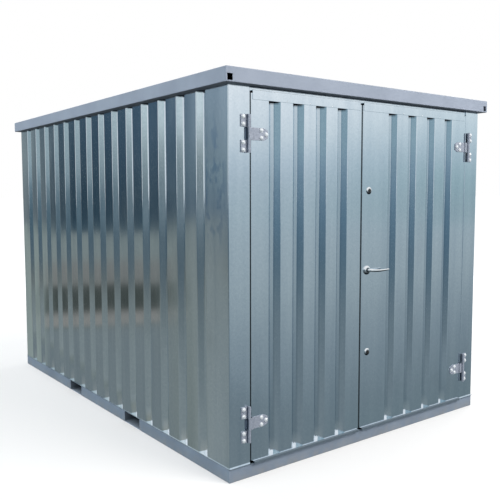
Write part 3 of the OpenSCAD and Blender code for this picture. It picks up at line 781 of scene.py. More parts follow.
# The fork pockets and joists are painted dark as painted shade, with painted light at the mouths.
tunnel_shade_paint = painted("tunnel_shade_paint", srgb(54, 64, 72), srgb(42, 50, 57), 0.7,
                       mouth_light_tone=srgb(172, 184, 200))
print("paints", rim_paint.name, base_paint.name, tunnel_shade_paint.name)


# %% [markdown]
# ## Zinc plate, polished metal, boards and shadow
# The hinges are zinc plated, greyer and duller than the sheets, and their bolts are brighter. The handle
# and locks are polished, and their undersides are painted darker as painted shade. Painted shade darkens
# the left side of the hinge rolls, their webs and the lever's collar, and the door gaps are lined with
# nearly black strips of painted shade. The floor boards inside are coated plywood with a long grain.

# %% Other finishes
# Colour of the painted shade on the undersides of the handle and locks.
polished_shade_tone = srgb(46, 50, 54)


def plated(name, colour, dark, metallic, roughness):
    """Electroplated zinc: a fine mottle in colour and in gloss."""
    material, graph, shader, where = plain_finish(name, metallic, roughness)
    mottle = noise(graph, where, 140.0, 5.0)
    tone = mixed(graph, stretch(graph, mottle, 0.35, 0.65, 0, 1), dark, colour)
    fill(graph, shader, tone, stretch(graph, mottle, 0.3, 0.7, roughness + 0.08, roughness - 0.06))
    bumped(graph, shader, noise(graph, where, 300.0, 3.0), 0.00008)
    return material


def polished(name, colour, roughness, level, shaded_span):
    """Bright metal with fine polishing marks that vary the gloss. Painted shade on the underside grows from
    the first to the second of the two given heights, both counted up from a level."""
    material, graph, shader, where = plain_finish(name, 1.0, roughness)
    marks = noise(graph, where, 90.0, 6.0, (0.15, 1, 1))
    rise = wire(graph, "SeparateXYZ", {0: where})["Z"]
    painted_shade = stretch(graph, rise, level + shaded_span[0], level + shaded_span[1], 0, 1)
    tone = mixed(graph, painted_shade, colour, polished_shade_tone)
    fill(graph, shader, tone, stretch(graph, marks, 0.3, 0.7, roughness * 0.5, roughness * 1.6))
    return material


def boarded(name, pale, dark, roughness=0.5):
    """Coated plywood: long grain along Y, darker late wood in thin lines."""
    material, graph, shader, where = plain_finish(name, 0.0, roughness)
    grain = noise(graph, where, 55.0, 6.0, (1, 0.06, 1))
    rings = noise(graph, where, 9.0, 3.0, (1, 0.1, 1))
    wood = maths(graph, "ADD", maths(graph, "MULTIPLY", grain, 0.6), maths(graph, "MULTIPLY", rings, 0.4))
    tone = mixed(graph, stretch(graph, wood, 0.35, 0.65, 0, 1), dark, pale)
    fill(graph, shader, tone, stretch(graph, grain, 0.3, 0.7, roughness + 0.1, roughness - 0.1))
    bumped(graph, shader, grain, 0.0004)
    return material


zinc_plate = plated("zinc_hinge", srgb(168, 175, 189), srgb(148, 156, 171), 0.35, 0.45)
bolt_zinc = plated("zinc_bolt", srgb(240, 244, 248), srgb(226, 232, 238), 0.45, 0.25)
floor_board = boarded("floor_board", srgb(158, 124, 88), srgb(112, 82, 55))
# A dark collar of painted shade at the root of the lever.
collar_shade = plated("collar_painted_shade", srgb(44, 50, 60), srgb(30, 35, 43), 0.2, 0.6)
knuckle_shade = plated("knuckle_shade", srgb(92, 104, 124), srgb(74, 86, 106), 0.35, 0.5)
# Darker, duller zinc for the drip strips' folded-down edge, as painted shade.
drip_shade_zinc = plated("drip_shade_zinc", srgb(126, 140, 152), srgb(110, 124, 136), 0.6, 0.5)
# Nearly black paint for the strips of painted shade in the door gaps.
gap_shade = painted("gap_shade", srgb(16, 25, 32), srgb(12, 18, 24), 0.9)
lock_core = plated("lock_core", srgb(70, 68, 66), srgb(48, 47, 46), 0.6, 0.35)
slot_shadow = plated("key_slot", srgb(26, 27, 30), srgb(18, 19, 21), 0.3, 0.6)
print("materials so far", len(bpy.data.materials))


# %% [markdown]
# ## Joining a new piece to the frame
# A re-formed piece rides on the same body as the node it stands for, so it moves with it, and that node is
# hidden. A fastener stands for no node: it only rides.

# %% Riding
def form(node, slot, *parts):
    """A re-formed piece for one node, from pairs of a solid and its finish."""
    solids, finishes = zip(*parts)
    made = piece(node + "_formed", solids, finishes)
    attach(made, frame["nodes"][node]["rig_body"])
    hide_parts(node)
    return made


def rides_with(node, name, solid, finish):
    """An added piece that rides on a node's body."""
    made = piece(name, [solid], [finish])
    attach(made, frame["nodes"][node]["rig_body"])
    return made


# %% [markdown]
# ## Pressed walls
# Each wall is one sheet with shallow trapezoidal recesses pressed into it, which stiffen it. In plan that
# is a line that steps in and out at an even pitch. The bends are soft, about 7 mm, because thin sheet is
# pressed cold.

# %% Wall sheets
sheet_thick = 0.0012
press_radius = 0.007
recess_depth, recess_wide, flank_wide = 0.026, 0.084, 0.029
side_recesses, rear_recesses = 14, 10
corner_flat, rear_flat, post_return = 0.200, 0.152, 0.045


def recess_starts(run, count, first, last, wide):
    """Where the recesses of a sheet from 0 to run start: recess k at first + k x pitch."""
    return np.linspace(first, run - last - wide, count)


def pressed_line(run, count, first, last, wide, flank, depth):
    """Plan of a pressed sheet from 0 to run, which steps in and out at each recess over sloping flanks."""
    starts = recess_starts(run, count, first, last, wide)
    steps = np.array([(0, 0), (flank, depth), (wide - flank, depth), (wide, 0)])
    recesses = steps[None] + np.stack([starts, np.zeros(count)], 1)[:, None]
    return np.concatenate([[(0, 0)], recesses.reshape(-1, 2), [(run, 0)]])


def pressed_wall(node, side, length, count, first, last):
    """A wall sheet between two posts, with its own plain widths from the corners to the outer recesses."""
    run = length - post_return * 2
    flats = first - post_return, last - post_return
    plan = pressed_line(run, count, *flats, recess_wide, flank_wide, recess_depth)
    plan = plan - (run / 2, 0)
    sheet = standing_sheet(side, plan, sheet_thick, press_radius, (wall_foot, wall_head))
    return form(node, "galvanised_sheet", (sheet, wall_metal))


pressed_wall("wall_left", "left", half_length * 2, side_recesses, rear_flat, corner_flat)
pressed_wall("wall_right", "right", half_length * 2, side_recesses, corner_flat, rear_flat)
pressed_wall("wall_rear", "rear", half_width * 2, rear_recesses, rear_flat, rear_flat)
ribbed = half_length * 2 - corner_flat - rear_flat - recess_wide
print("recess pitch on a side", ribbed / (side_recesses - 1))

# %% [markdown]
# ## Posts and header
# The front posts are wide faces with one fold back along the side wall and one into the doorway. The rear
# posts are plain angles. They are folded from thicker sheet than the walls, round a 4 mm nose.

# %% Posts
post_thick, post_radius = 0.0025, 0.004
front_face = corners("post_front_left")[1][0] + half_width
jamb_deep = 0.042
header_foot = corners("door_header")[0][2]
front_plan = np.array([(-half_width, post_return), (-half_width, 0), (front_face - half_width, 0),
                       (front_face - half_width, jamb_deep)])
rear_plan = np.array([(-half_width, post_return), (-half_width, 0), (post_return - half_width, 0)])
mirrored = (-1, 1)

for node, side, plan in (("post_front_left", "front", front_plan),
                         ("post_front_right", "front", front_plan[::-1] * mirrored),
                         ("post_rear_right", "rear", rear_plan),
                         ("post_rear_left", "rear", rear_plan[::-1] * mirrored)):
    post = standing_sheet(side, plan, post_thick, post_radius, (wall_foot, wall_head))
    form(node, "galvanised_sheet", (post, sheet_metal))

doorway = half_width - front_face
header_in = corners("door_header")[0][1] + half_length
header_section = [(jamb_deep, wall_head), (header_in, wall_head), (header_in, header_foot),
                  (jamb_deep, header_foot)]
header = lying_rail("front", header_section, post_thick, post_radius, (-1, 1), doorway)
form("door_header", "galvanised_sheet", (header, sheet_metal))
print("front post face", front_face, "doorway", doorway * 2)

# %% [markdown]
# ## Strips in the post gaps
# A leaf needs a few millimetres of room beside its post. On the left the gap reads as a black line, so a
# nearly black strip of painted shade lines that jamb. On the right a thin lip of bare sheet stands just
# behind the gap, and the line nearly vanishes. Both are strips of almost no thickness, carried up like the
# posts.

# %% Gap strips
gap_strip_thick, gap_strip_margin, gap_strip_short = 0.0004, 0.001, 0.03
gap_strip_levels = (wall_foot + gap_strip_margin, wall_head - gap_strip_short)
shade_strip_depths = (jamb_deep - gap_strip_margin, (post_radius + jamb_deep) / 2, post_radius)
shade_strip = [(-doorway, depth) for depth in shade_strip_depths]
gap_strip = standing_sheet("front", shade_strip, gap_strip_thick, post_radius, gap_strip_levels)
rides_with("post_front_left", "post_front_left_gap_shade", gap_strip, gap_shade)
lip_deep, lip_clear = 0.0022, 0.0007
leaf_edge = corners("right_door_sheet")[1][0] + lip_clear
lip = [(leaf_edge, lip_deep), ((leaf_edge + doorway) / 2, lip_deep), (doorway, lip_deep)]
gap_strip = standing_sheet("front", lip, gap_strip_thick, post_radius, gap_strip_levels)
rides_with("post_front_right", "post_front_right_seal", gap_strip, sheet_metal)
print("right gap", doorway - leaf_edge, "closed by a lip")


# %% [markdown]
# ## Base rails
# The base is a channel on each side, mitred at the corners, with a flat galvanised plate on top that stands
# out as a ledge. The long rails have two square mouths for a forklift's tines: those cells are left out of
# the grid.

# %% Base
base_thick, base_radius = 0.003, 0.004
base_flange, base_ledge, side_ledge = 0.060, 0.008, 0.002
pocket_head, pocket_wide = 0.072, 0.200
pocket_middle = corners("fork_tunnel_rear")[0][1] + base_thick + pocket_wide / 2
channel = [(0, wall_foot - base_thick), (0, pocket_head), (0, 0), (base_flange, 0)]


def in_mouth(along, inwards, up):
    """True below a mouth's head, between its sides: in the web and in the flange under the tunnel."""
    return (np.abs(np.abs(along) - pocket_middle) < pocket_wide / 2) & (up < pocket_head)


def base_rail(node, side, half, stand_out, edges=(), hole=None):
    """A base rail: the painted channel, then the galvanised plate on it, which stands out as a ledge."""
    shares = sorted([-1, *(-edge / half for edge in edges), *(edge / half for edge in edges), 1])
    rail = lying_rail(side, channel, base_thick, base_radius, shares, half, True, hole)
    ledge = [(base_flange, wall_foot), (0, wall_foot), (-stand_out, wall_foot)]
    plate = lying_rail(side, ledge, base_thick, base_radius, (-1, 1), half, True, longest=half + side_ledge)
    return form(node, "base_paint", (rail, base_paint), (plate, sheet_metal))


mouth_edges = (pocket_middle - pocket_wide / 2, pocket_middle + pocket_wide / 2)
base_rail("base_rail_front", "front", half_width, base_ledge)
base_rail("base_rail_rear", "rear", half_width, base_ledge)
base_rail("base_rail_left", "left", half_length, side_ledge, mouth_edges, in_mouth)
base_rail("base_rail_right", "right", half_length, side_ledge, mouth_edges, in_mouth)
print("pocket mouths at", mouth_edges)


# %% [markdown]
# ## Plates, boards and domes
# A thick piece has an outline and a height. A ring of points follows the outline, and each further ring is
# lifted a little and drawn in a little, so that a plate gets an eased edge and a bolt head its dome. A
# bevel would do for the plates, but rings make domes and stepped rims as well.

# %% Stacked rings
def ringed(grid):
    """Closes rings of points into a solid: cells between rings, and a ladder of cells over both end rings."""
    rings, sides = grid.shape[:2]
    index = np.arange(rings * sides).reshape(rings, sides)
    ahead = np.roll(index, -1, 1)
    walls = np.stack([index[:-1], ahead[:-1], ahead[1:], index[1:]], -1).reshape(-1, 4)
    rung = np.arange(sides // 2 - 1)
    ladder = np.stack([rung, sides - 1 - rung, sides - 2 - rung, rung + 1], -1)
    return outwards(grid.reshape(-1, 3), np.concatenate([walls, ladder, (ladder + index[-1, 0])[:, ::-1]]))


def loop(points, radius, steps=3):
    """A closed outline with round corners, anticlockwise, and its outward normals."""
    points = np.asarray(points, float)
    middle = (points[:1] + points[-1:]) / 2
    line, left = rounded(np.concatenate([middle, points, middle]), radius, steps)
    return line[1:-1], -left[1:-1]


def circle(radius, sides=28):
    """A round outline and its outward normals."""
    angle = np.linspace(0, 2 * np.pi, sides, endpoint=False)
    spokes = np.stack([np.cos(angle), np.sin(angle)], 1)
    return spokes * radius, spokes


square = np.array([(-1, -1), (1, -1), (1, 1), (-1, 1)])
upright = np.eye(3)
facing_front = np.array([(1, 0, 0), (0, 0, 1), (0, -1, 0)])


def slab(outline, levels, place, axes):
    """A plate or dome. With levels[k] = (height, inset), ring k is the outline moved in and out by these."""
    points, normals = outline
    height, inset = np.asarray(levels, float).T
    grid = np.empty((len(height), len(points), 3))
    grid[..., :2] = points - normals * inset[:, None, None]
    grid[..., 2] = height[:, None]
    return ringed(grid @ axes + np.asarray(place))


def eased(thick, ease):
    """Levels of a plate whose front edge is rounded off by ease."""
    return [(0, 0), (thick - ease, 0), (thick - ease * 0.3, ease * 0.3), (thick, ease), (thick, ease * 1.5)]


def copies(solid, places):
    """The same solid moved to several places, as one."""
    points, faces = solid
    return joined(*((points + place, faces) for place in np.asarray(places)))


print("a plain disc has", len(slab(circle(1), [(0, 0), (1, 0)], (0, 0, 0), upright)[1]), "faces")


# %% [markdown]
# ## Under the floor, and the floor
# The tunnels and joists are plain folded steel that the imported model already holds, so they only get
# paint: a dark paint of painted shade, with painted light on the pocket floors at their mouths.
# The floor is laid with boards from front to back, each with eased edges, and an angle covers their ends at
# the doorway.

# %% Floor
def finish_node(node, finish):
    """Gives a node that keeps its own mesh a finish."""
    materials = frame["nodes"][node].data.materials
    materials.clear()
    materials.append(finish)


for node in ("fork_tunnel_front", "fork_tunnel_rear", "floor_joists"):
    finish_node(node, tunnel_shade_paint)

floor_low, floor_high = corners("floor_boards")
board_count, board_gap, board_ease = 10, 0.0015, 0.002
board_pitch = (floor_high[0] - floor_low[0]) / board_count
board_half = ((board_pitch - board_gap) / 2, (floor_high[1] - floor_low[1]) / 2)
board_outline = loop(square * board_half, board_ease)
board_levels = eased(floor_high[2] - floor_low[2], board_ease)
one_board = slab(board_outline, board_levels, (0, 0, floor_low[2]), upright)
board_places = np.zeros((board_count, 3))
board_places[:, 0] = floor_low[0] + board_pitch * (np.arange(board_count) + 0.5)
board_places[:, 1] = (floor_low[1] + floor_high[1]) / 2
form("floor_boards", "floor_board", (copies(one_board, board_places), floor_board))

sill_low, sill_high = corners("door_sill")
sill_out, sill_in = sill_low[1] + half_length, sill_high[1] + half_length
sill_section = [(sill_in, sill_high[2]), (sill_out, sill_high[2]), (sill_out, sill_low[2])]
sill_thick, sill_radius = 0.002, 0.003
sill = lying_rail("front", sill_section, sill_thick, sill_radius, (-1, 1), doorway)
form("door_sill", "base_paint", (sill, base_paint))
print("boards", board_count, "each", board_pitch - board_gap, "wide")


# %% [markdown]
# ## Roof
# A deep painted channel runs round the roof and stands out past the walls. Its front and rear lengths have
# a square hole near each corner for a lifting hook. Inside it lies a trapezoidal sheet, its troughs across
# the cabin.

# %% Roof rim and sheet
rim_thick, rim_radius = 0.003, 0.005
rim_over = corners("roof_rim_right")[1][0] - half_width
rim_foot, rim_lip = 0.088, 0.032
lift_hole, lift_edge, lift_up = 0.033, 0.006, 0.008
hole_foot = wall_head + lift_up
hole_head = hole_foot + lift_hole
rim_section = [(rim_lip - rim_over, roof_top), (-rim_over, roof_top), (-rim_over, hole_head),
               (-rim_over, hole_foot), (-rim_over, wall_head), (rim_foot - rim_over, wall_head)]
rim_half = half_width + rim_over
hole_span = (rim_half - lift_edge - lift_hole, rim_half - lift_edge)


def in_lift_hole(along, inwards, up):
    """True in the rim's face, inside one of the two square holes."""
    beside = (np.abs(along) > hole_span[0]) & (np.abs(along) < hole_span[1])
    return (inwards < rim_thick - rim_over) & beside & (up > hole_foot) & (up < hole_head)


hole_shares = [edge / rim_half for edge in hole_span]
end_shares = [-1, -hole_shares[1], -hole_shares[0], hole_shares[0], hole_shares[1], 1]
for node, side in (("roof_rim_front", "front"), ("roof_rim_rear", "rear")):
    rim = lying_rail(side, rim_section, rim_thick, rim_radius, end_shares, half_width, True, in_lift_hole)
    form(node, "rim_paint", (rim, rim_paint))
for node, side in (("roof_rim_left", "left"), ("roof_rim_right", "right")):
    rim = lying_rail(side, rim_section, rim_thick, rim_radius, (-1, 1), half_length, True)
    form(node, "rim_paint", (rim, rim_paint))

roof_low, roof_high = corners("roof_sheet")
trough_count, trough_wide, trough_flank, trough_deep = 12, 0.120, 0.030, 0.030
roof_run = roof_high[1] - roof_low[1]
roof_flats = trough_wide, trough_wide
roof_line = pressed_line(roof_run, trough_count, *roof_flats, trough_wide, trough_flank, trough_deep)


def across_roof(line):
    """Carries the roof sheet's line of (along, down) from the left edge to the right one."""
    grid = np.empty((2, len(line), 3))
    grid[..., 0] = np.array([roof_low[0], roof_high[0]])[:, None]
    grid[..., 1] = roof_low[1] + line[:, 0]
    grid[..., 2] = roof_high[2] - line[:, 1]
    return grid


roof_solid = closed_sheet(*(across_roof(line) for line in folded(roof_line, sheet_thick, press_radius)))
form("roof_sheet", "galvanised_sheet", (roof_solid, roof_metal))
print("rim", rim_half * 2, "wide, lifting holes at", hole_span)


# %% [markdown]
# ## Door leaves
# Each leaf is a pressed sheet with plain edges for the hinges and locks. The right leaf is the left one
# turned over, but wider. So a leaf's plan is drawn once, from its hinge edge, and one function moves it to
# its place.

# %% Door sheets
door_recess, door_recesses = 0.081, 4
leaf_flats = {"left": (0.117, 0.113), "right": (0.142, 0.227)}
leaf_deep, leaf_thick, leaf_radius = 0.040, 0.002, 0.003


def leaf_size(hand):
    """Width of a leaf's sheet, its middle, and the levels of its foot and head."""
    low, high = corners(hand + "_door_sheet")
    return high[0] - low[0], (low[0] + high[0]) / 2, (low[2], high[2])


def leaf_plan(hand, plan):
    """A plan of (s, depth), s counted from the hinge edge, moved to its place on the front.

    On the right leaf s runs to the left and the order turns round, so the metal stays on the inner side.
    """
    low, high = corners(hand + "_door_sheet")
    toward, hinge_edge = (1, low[0]) if hand == "left" else (-1, high[0])
    return (np.asarray(plan, float) * (toward, 1) + (hinge_edge, 0))[::toward]


def leaf_strip(hand, plan, thick, radius=leaf_radius):
    """A folded sheet as high as a leaf, from a plan in the leaf's own run."""
    _, _, levels = leaf_size(hand)
    return standing_sheet("front", leaf_plan(hand, plan), thick, radius, levels)


for hand in ("left", "right"):
    run, _, _ = leaf_size(hand)
    plan = pressed_line(run, door_recesses, *leaf_flats[hand], door_recess, flank_wide, recess_depth)
    sheet = leaf_strip(hand, plan, sheet_thick, press_radius)
    form(hand + "_door_sheet", "galvanised_sheet", (sheet, door_metal))
    print(hand, "leaf", run, "wide")

# %% [markdown]
# ## Stiles and gap shade
# A folded stile stiffens a leaf behind each edge. A nearly black strip of painted shade on its outer side
# makes the gaps read as lines, and on the right leaf such a strip laps on to the front beside the meeting
# gap. The stile at the free edge is the one at the hinge edge turned over.

# %% Stiles
stile_wide, shade_lap = 0.040, 0.0028
stile = np.array([(stile_wide, leaf_deep), (0, leaf_deep), (0, sheet_thick), (stile_wide, sheet_thick)])
edge_shade_strip = np.array([(-gap_strip_thick, depth) for depth in (leaf_deep - gap_strip_margin, leaf_deep / 2, leaf_radius)])
free_stile = {"left": "meeting_stile", "right": "lock_stile"}

for hand in ("left", "right"):
    run, _, _ = leaf_size(hand)
    for node, flip, start in (("hinge_stile", 1, 0), (free_stile[hand], -1, run)):
        # Each stile gets a nearly black strip of painted shade on its outer side.
        bare, dark = (leaf_strip(hand, (line * (flip, 1) + (start, 0))[::flip], thick)
                      for line, thick in ((stile, leaf_thick), (edge_shade_strip, gap_strip_thick)))
        form(f"{hand}_door_{node}", "galvanised_sheet", (bare, sheet_metal), (dark, gap_shade))
        print(hand, node)

# A strip of painted shade laps on to the right leaf's front beside the meeting gap.
run, _, _ = leaf_size("right")
shade_lap_strip = leaf_strip("right", [(run - shade_lap * k, -gap_strip_thick) for k in (1, 0.5, 0)], gap_strip_thick)
rides_with("right_door_sheet", "right_door_edge_shade", shade_lap_strip, gap_shade)

# %% [markdown]
# ## Rails of the leaves
# A flat plate covers the tops of the recesses, which stay open behind it, and painted shade darkens the
# sheet just under it; a flange closes the leaf above. Below, a drip strip throws the rain clear of the sill.
# Its folded-down front edge is painted darker and duller, as painted shade.

# %% Top rails and drip strips
plate_ease, plate_corner, shaded_share = 0.0008, 0.002, 0.3


def leaf_rail(hand, section):
    """A thin folded rail over the width of a leaf, from a section of (inwards, up)."""
    low, high = corners(hand + "_door_top_rail")
    half = (high[0] - low[0]) / 2
    return lying_rail("front", section, leaf_thick, leaf_radius, (-1, 1), half, middle=leaf_size(hand)[1])


def top_rail(hand):
    """The plate over the recesses' tops, and the flange on top of the leaf."""
    _, middle, (_, head) = leaf_size(hand)
    low, high = corners(hand + "_door_top_rail")
    half = (high[0] - low[0]) / 2, (high[2] - low[2]) / 2
    levels = eased(-half_length - low[1], plate_ease)
    plate_place = (middle, -half_length, low[2] + half[1])
    plate = slab(loop(square * half, plate_corner), levels, plate_place, facing_front)
    flange = leaf_rail(hand, [(depth, head + leaf_thick) for depth in (leaf_deep, leaf_deep / 2, 0)])
    form(hand + "_door_top_rail", "galvanised_sheet", (plate, sheet_metal), (flange, sheet_metal))


def drip_strip(hand):
    """A bright root that comes out of the leaf, and an edge that is folded down and painted darker as painted
    shade.
    """
    (_, proud, foot), (_, deep, head) = corners(hand + "_door_drip_strip") + np.array([0, half_length, 0])
    worn_and_shaded = proud * shaded_share
    bright_root = leaf_rail(hand, [(depth, head) for depth in (deep, (deep + worn_and_shaded) / 2, worn_and_shaded)])
    shaded_edge = leaf_rail(hand, [(worn_and_shaded, head), (proud, head), (proud, foot)])
    form(hand + "_door_drip_strip", "galvanised_sheet", (bright_root, sheet_metal), (shaded_edge, drip_shade_zinc))
    print(hand, "drip strip stands", -proud, "out")


for hand in ("left", "right"):
    top_rail(hand)
    drip_strip(hand)


# %% [markdown]
# ## Hinges and their bolts
# A hinge is two plates bolted to the post and a strap bolted to the leaf, all rolled round one pin. The
# roll is a line seen from above, out from the wall and most of the way round a circle, carried straight up.
# The right-hand hinges are the left-hand ones mirrored.

# %% Hinge rolls
hinge_thick, pin_front, strap_root = 0.005, 0.014, 0.028
knuckle_high, knuckle_gap, knuckle_radius, pin_radius = 0.063, 0.001, 0.008, 0.0045
roll_thick, roll_turn = 0.0032, np.radians(288)
# A thin band of painted shade on each knuckle's left side and on each plate's web.
shade_band_thick, shade_band_margin, shade_band_angles = 0.0003, 0.002, np.radians((70, 118))


def sideways(solid, hand):
    """Turns a left-hand solid into a right-hand one by mirroring it across the cabin."""
    points, faces = solid
    return outwards(points * (hand, 1, 1), faces)


def carried_up(plan, thick, on_wall, high):
    """A plan line round the pin with its unit normals, thickened inwards and carried up about the middle."""
    points, normals = plan
    at_pin = on_wall - (0, pin_front, 0)
    levels = at_pin[2] + np.array([-0.5, 0.5]) * high
    face, back = points + at_pin[:2], points - normals * thick + at_pin[:2]
    return closed_sheet(standing(face, levels), standing(back, levels))


def plate_roll(radius):
    """Plan of a plate's knuckle: a line out from the wall on the left of the pin, then at the angle a round
    it at radius x (-cos a, -sin a)."""
    angle = np.append(np.zeros(2), np.linspace(0, roll_turn, 40))
    spokes = np.stack([-np.cos(angle), -np.sin(angle)], 1)
    points = spokes * radius
    points[:2, 1] = pin_front - hinge_thick / 2, pin_front / 2
    return points, spokes


def strap_roll():
    """Plan of a strap's knuckle: along behind the pin from the right, then round its left side and front."""
    angle = np.append(np.zeros(2), np.linspace(0, roll_turn, 40))
    spokes = np.stack([-np.sin(angle), np.cos(angle)], 1)
    points = spokes * knuckle_radius
    points[:2, 0] = strap_root, strap_root / 2
    return points, spokes


def knuckle_shade_band():
    """Plan of a thin band of painted shade on a knuckle's left side, between two angles round the pin."""
    angle = np.linspace(*shade_band_angles, 12)
    spokes = np.stack([-np.sin(angle), np.cos(angle)], 1)
    return spokes * (knuckle_radius + shade_band_thick), spokes


print("a knuckle's roll has", len(strap_roll()[0]), "points")

# %% [markdown]
# ## Outlines of plates and straps
# Plates and straps are rings of a round-cornered outline, drawn round the pin's middle. The strap is
# cranked: a raised stretch crosses the post's edge, and its far end tapers.

# %% Hinge outlines
hinge_ease, plate_round, crank_round, crank_lift, crank_start = 0.0012, 0.004, 0.001, 0.005, 0.004
plate_reach, strap_reach, tip_long, tip_high = 0.045, 0.131, 0.026, 0.013
crank_end = strap_root + hinge_thick
root = knuckle_radius - roll_thick
half_high = 0.5 * knuckle_high
plate_points = [(-plate_reach, -half_high), (-root, -half_high), (-root, half_high),
                (-plate_reach, half_high)]
strap_points = [(strap_root, -half_high), (strap_reach - tip_long, -half_high),
                (strap_reach, tip_high - half_high), (strap_reach, half_high - tip_high),
                (strap_reach - tip_long, half_high), (strap_root, half_high)]
crank_points = [(crank_start, -half_high), (crank_end, -half_high), (crank_end, half_high),
                (crank_start, half_high)]
hinge_levels = eased(hinge_thick, hinge_ease)
knuckle_pitch = knuckle_high + knuckle_gap
plate_places = [(0, 0, -knuckle_pitch), (0, 0, knuckle_pitch)]
print("strap reaches", strap_reach, "m past the pin")

# %% [markdown]
# ## Setting the hinges
# Each hinge is three pieces: the plates with the pin ride on the cabin, the strap on the leaf, and the
# bolts with what they hold. The bolts' heads are rings of a circle that close over the top as a dome.

# %% Hinges
bolt_radius, bolt_high = 0.0122, 0.0088
plate_bolt_out, plate_bolt_rise = 0.030, 0.0185
strap_bolts = [(0.086, 0, 0.019), (0.086, 0, -0.019), (0.117, 0, 0)]
dome_turn = np.linspace(0, np.radians(84), 7)


def dome(radius, high):
    """Levels of a domed head: at the angle a, high x sin a up and radius x (1 - cos a) in."""
    return np.stack([high * np.sin(dome_turn), radius * (1 - np.cos(dome_turn))], 1)


def hinge_plates(which, hand, on_wall):
    """The two frame plates with their rolls and the pin, and a strip of painted shade on the web of each
    roll.
    """
    low, high = corners("hinge_plates_" + which)
    pin_foot = (on_wall[0], on_wall[1] - pin_front, low[2])
    pin = slab(circle(pin_radius), [(0, 0), (high[2] - low[2], 0)], pin_foot, upright)
    plate = slab(loop(plate_points, plate_round), hinge_levels, on_wall, facing_front)
    roll = carried_up(plate_roll(knuckle_radius), roll_thick, on_wall, knuckle_high)
    plates = joined(copies(roll, plate_places), copies(plate, plate_places), pin)
    web_plan = tuple(rows[:3] for rows in plate_roll(knuckle_radius + shade_band_thick))
    webs = copies(carried_up(web_plan, shade_band_thick, on_wall, knuckle_high), plate_places)
    form("hinge_plates_" + which, "zinc_hinge", (sideways(plates, hand), zinc_plate),
         (sideways(webs, hand), knuckle_shade))


def hinge_strap(which, hand, on_wall):
    """The door strap with its crank and roll, and a band of painted shade on the roll."""
    strap = slab(loop(strap_points, plate_round), hinge_levels, on_wall, facing_front)
    on_crank = on_wall - (0, crank_lift, 0)
    crank = slab(loop(crank_points, crank_round), hinge_levels, on_crank, facing_front)
    roll = carried_up(strap_roll(), roll_thick, on_wall, knuckle_high)
    smudge_and_shade = carried_up(knuckle_shade_band(), shade_band_thick, on_wall, knuckle_high - shade_band_margin)
    form("hinge_strap_" + which, "zinc_hinge", (sideways(joined(roll, crank, strap), hand), zinc_plate),
         (sideways(smudge_and_shade, hand), knuckle_shade))


def hinge_bolts(which, hand, on_wall):
    """Two bolts on each frame plate and three on the strap."""
    on_plate = on_wall - (0, hinge_thick, 0)
    bolt = slab(circle(bolt_radius, 20), dome(bolt_radius, bolt_high), on_plate, facing_front)
    plate_bolts = [(-plate_bolt_out, 0, end * knuckle_pitch + up * plate_bolt_rise)
                   for end in (-1, 1) for up in (-1, 1)]
    for part, places in (("plates", plate_bolts), ("strap", strap_bolts)):
        heads = sideways(copies(bolt, places), hand)
        rides_with(f"hinge_{part}_{which}", f"hinge_bolts_{part}_{which}", heads, bolt_zinc)


for height in ("upper", "lower"):
    for hand_name, hand in (("left", 1), ("right", -1)):
        which = f"{height}_{hand_name}"
        low, high = corners("hinge_plates_" + which)
        pin_x = -abs(low[0] if hand > 0 else high[0]) + plate_reach
        on_wall = np.array([pin_x, -half_length, (low[2] + high[2]) / 2])
        hinge_plates(which, hand, on_wall)
        hinge_strap(which, hand, on_wall)
        hinge_bolts(which, hand, on_wall)
        print("hinge", which, on_wall)


# %% [markdown]
# ## Locks
# Two cylinder locks sit one above and one below the handle, each a bright round escutcheon with a core and
# a key slot that is painted nearly black as painted shade. Their undersides are painted darker as painted
# shade.

# %% Locks
lock_levels = [(0, 0), (0.0012, 0), (0.0022, 0.0008), (0.0050, 0.0080), (0.0050, 0.0095), (0.0040, 0.0105)]
core_levels = [(0, 0), (0.0078, 0), (0.0088, 0.0008), (0.0090, 0.0020)]
core_radius, lock_shade, bright_tone = 0.0095, (0.002, -0.012), srgb(232, 235, 238)
slot_points, slot_round, slot_levels = square * (0.0014, 0.0056), 0.001, [(0.008, 0), (0.0092, 0)]
for node in ("lock_upper", "lock_lower"):
    low, high = corners(node)
    centre = np.array([(low[0] + high[0]) / 2, -half_length, (low[2] + high[2]) / 2])
    bright = polished(node + "_metal", bright_tone, 0.10, centre[2], lock_shade)
    ring = slab(circle((high[0] - low[0]) / 2, 36), lock_levels, centre, facing_front)
    core = slab(circle(core_radius, 28), core_levels, centre, facing_front)
    key_slot = slab(loop(slot_points, slot_round), slot_levels, centre, facing_front)
    form(node, "polished_metal", (ring, bright), (core, lock_core), (key_slot, slot_shadow))
    print(node, centre)


# %% [markdown]
# ## Rose
# The lever turns in a round rose, a domed disc on the leaf. It is rings of a circle, and a dark collar of
# painted shade sits where the lever comes out.

# %% Rose
rose_low, rose_high = corners("handle_rose")
handle = np.array([(rose_low[0] + rose_high[0]) / 2, -half_length, (rose_low[2] + rose_high[2]) / 2])
rose_levels = [(0, 0), (0.0022, 0), (0.0052, 0.0012), (0.0080, 0.0042), (0.0096, 0.0090), (0.0100, 0.0130)]
collar_radius, collar_levels = 0.0125, [(0.009, 0), (0.0125, 0), (0.0128, 0.0010)]
# Painted shade darkens the rose's underside.
rose_shade = (0.004, -0.018)
rose = slab(circle((rose_high[0] - rose_low[0]) / 2, 44), rose_levels, handle, facing_front)
rose_metal = polished("rose_metal", bright_tone, 0.08, handle[2], rose_shade)
collar = slab(circle(collar_radius), collar_levels, handle, facing_front)
form("handle_rose", "polished_metal", (rose, rose_metal), (collar, collar_shade))
print("rose", rose_high[0] - rose_low[0], "wide at", handle)


# %% [markdown]
# ## Lever
# The lever comes straight out of the rose, turns along the door and runs on as a flattened arm, bowed a
# little and thinner at its tip. It is an ellipse carried along a path: the path is a rounded corner in
# plan, and the ellipse changes from a round neck to a flat arm.

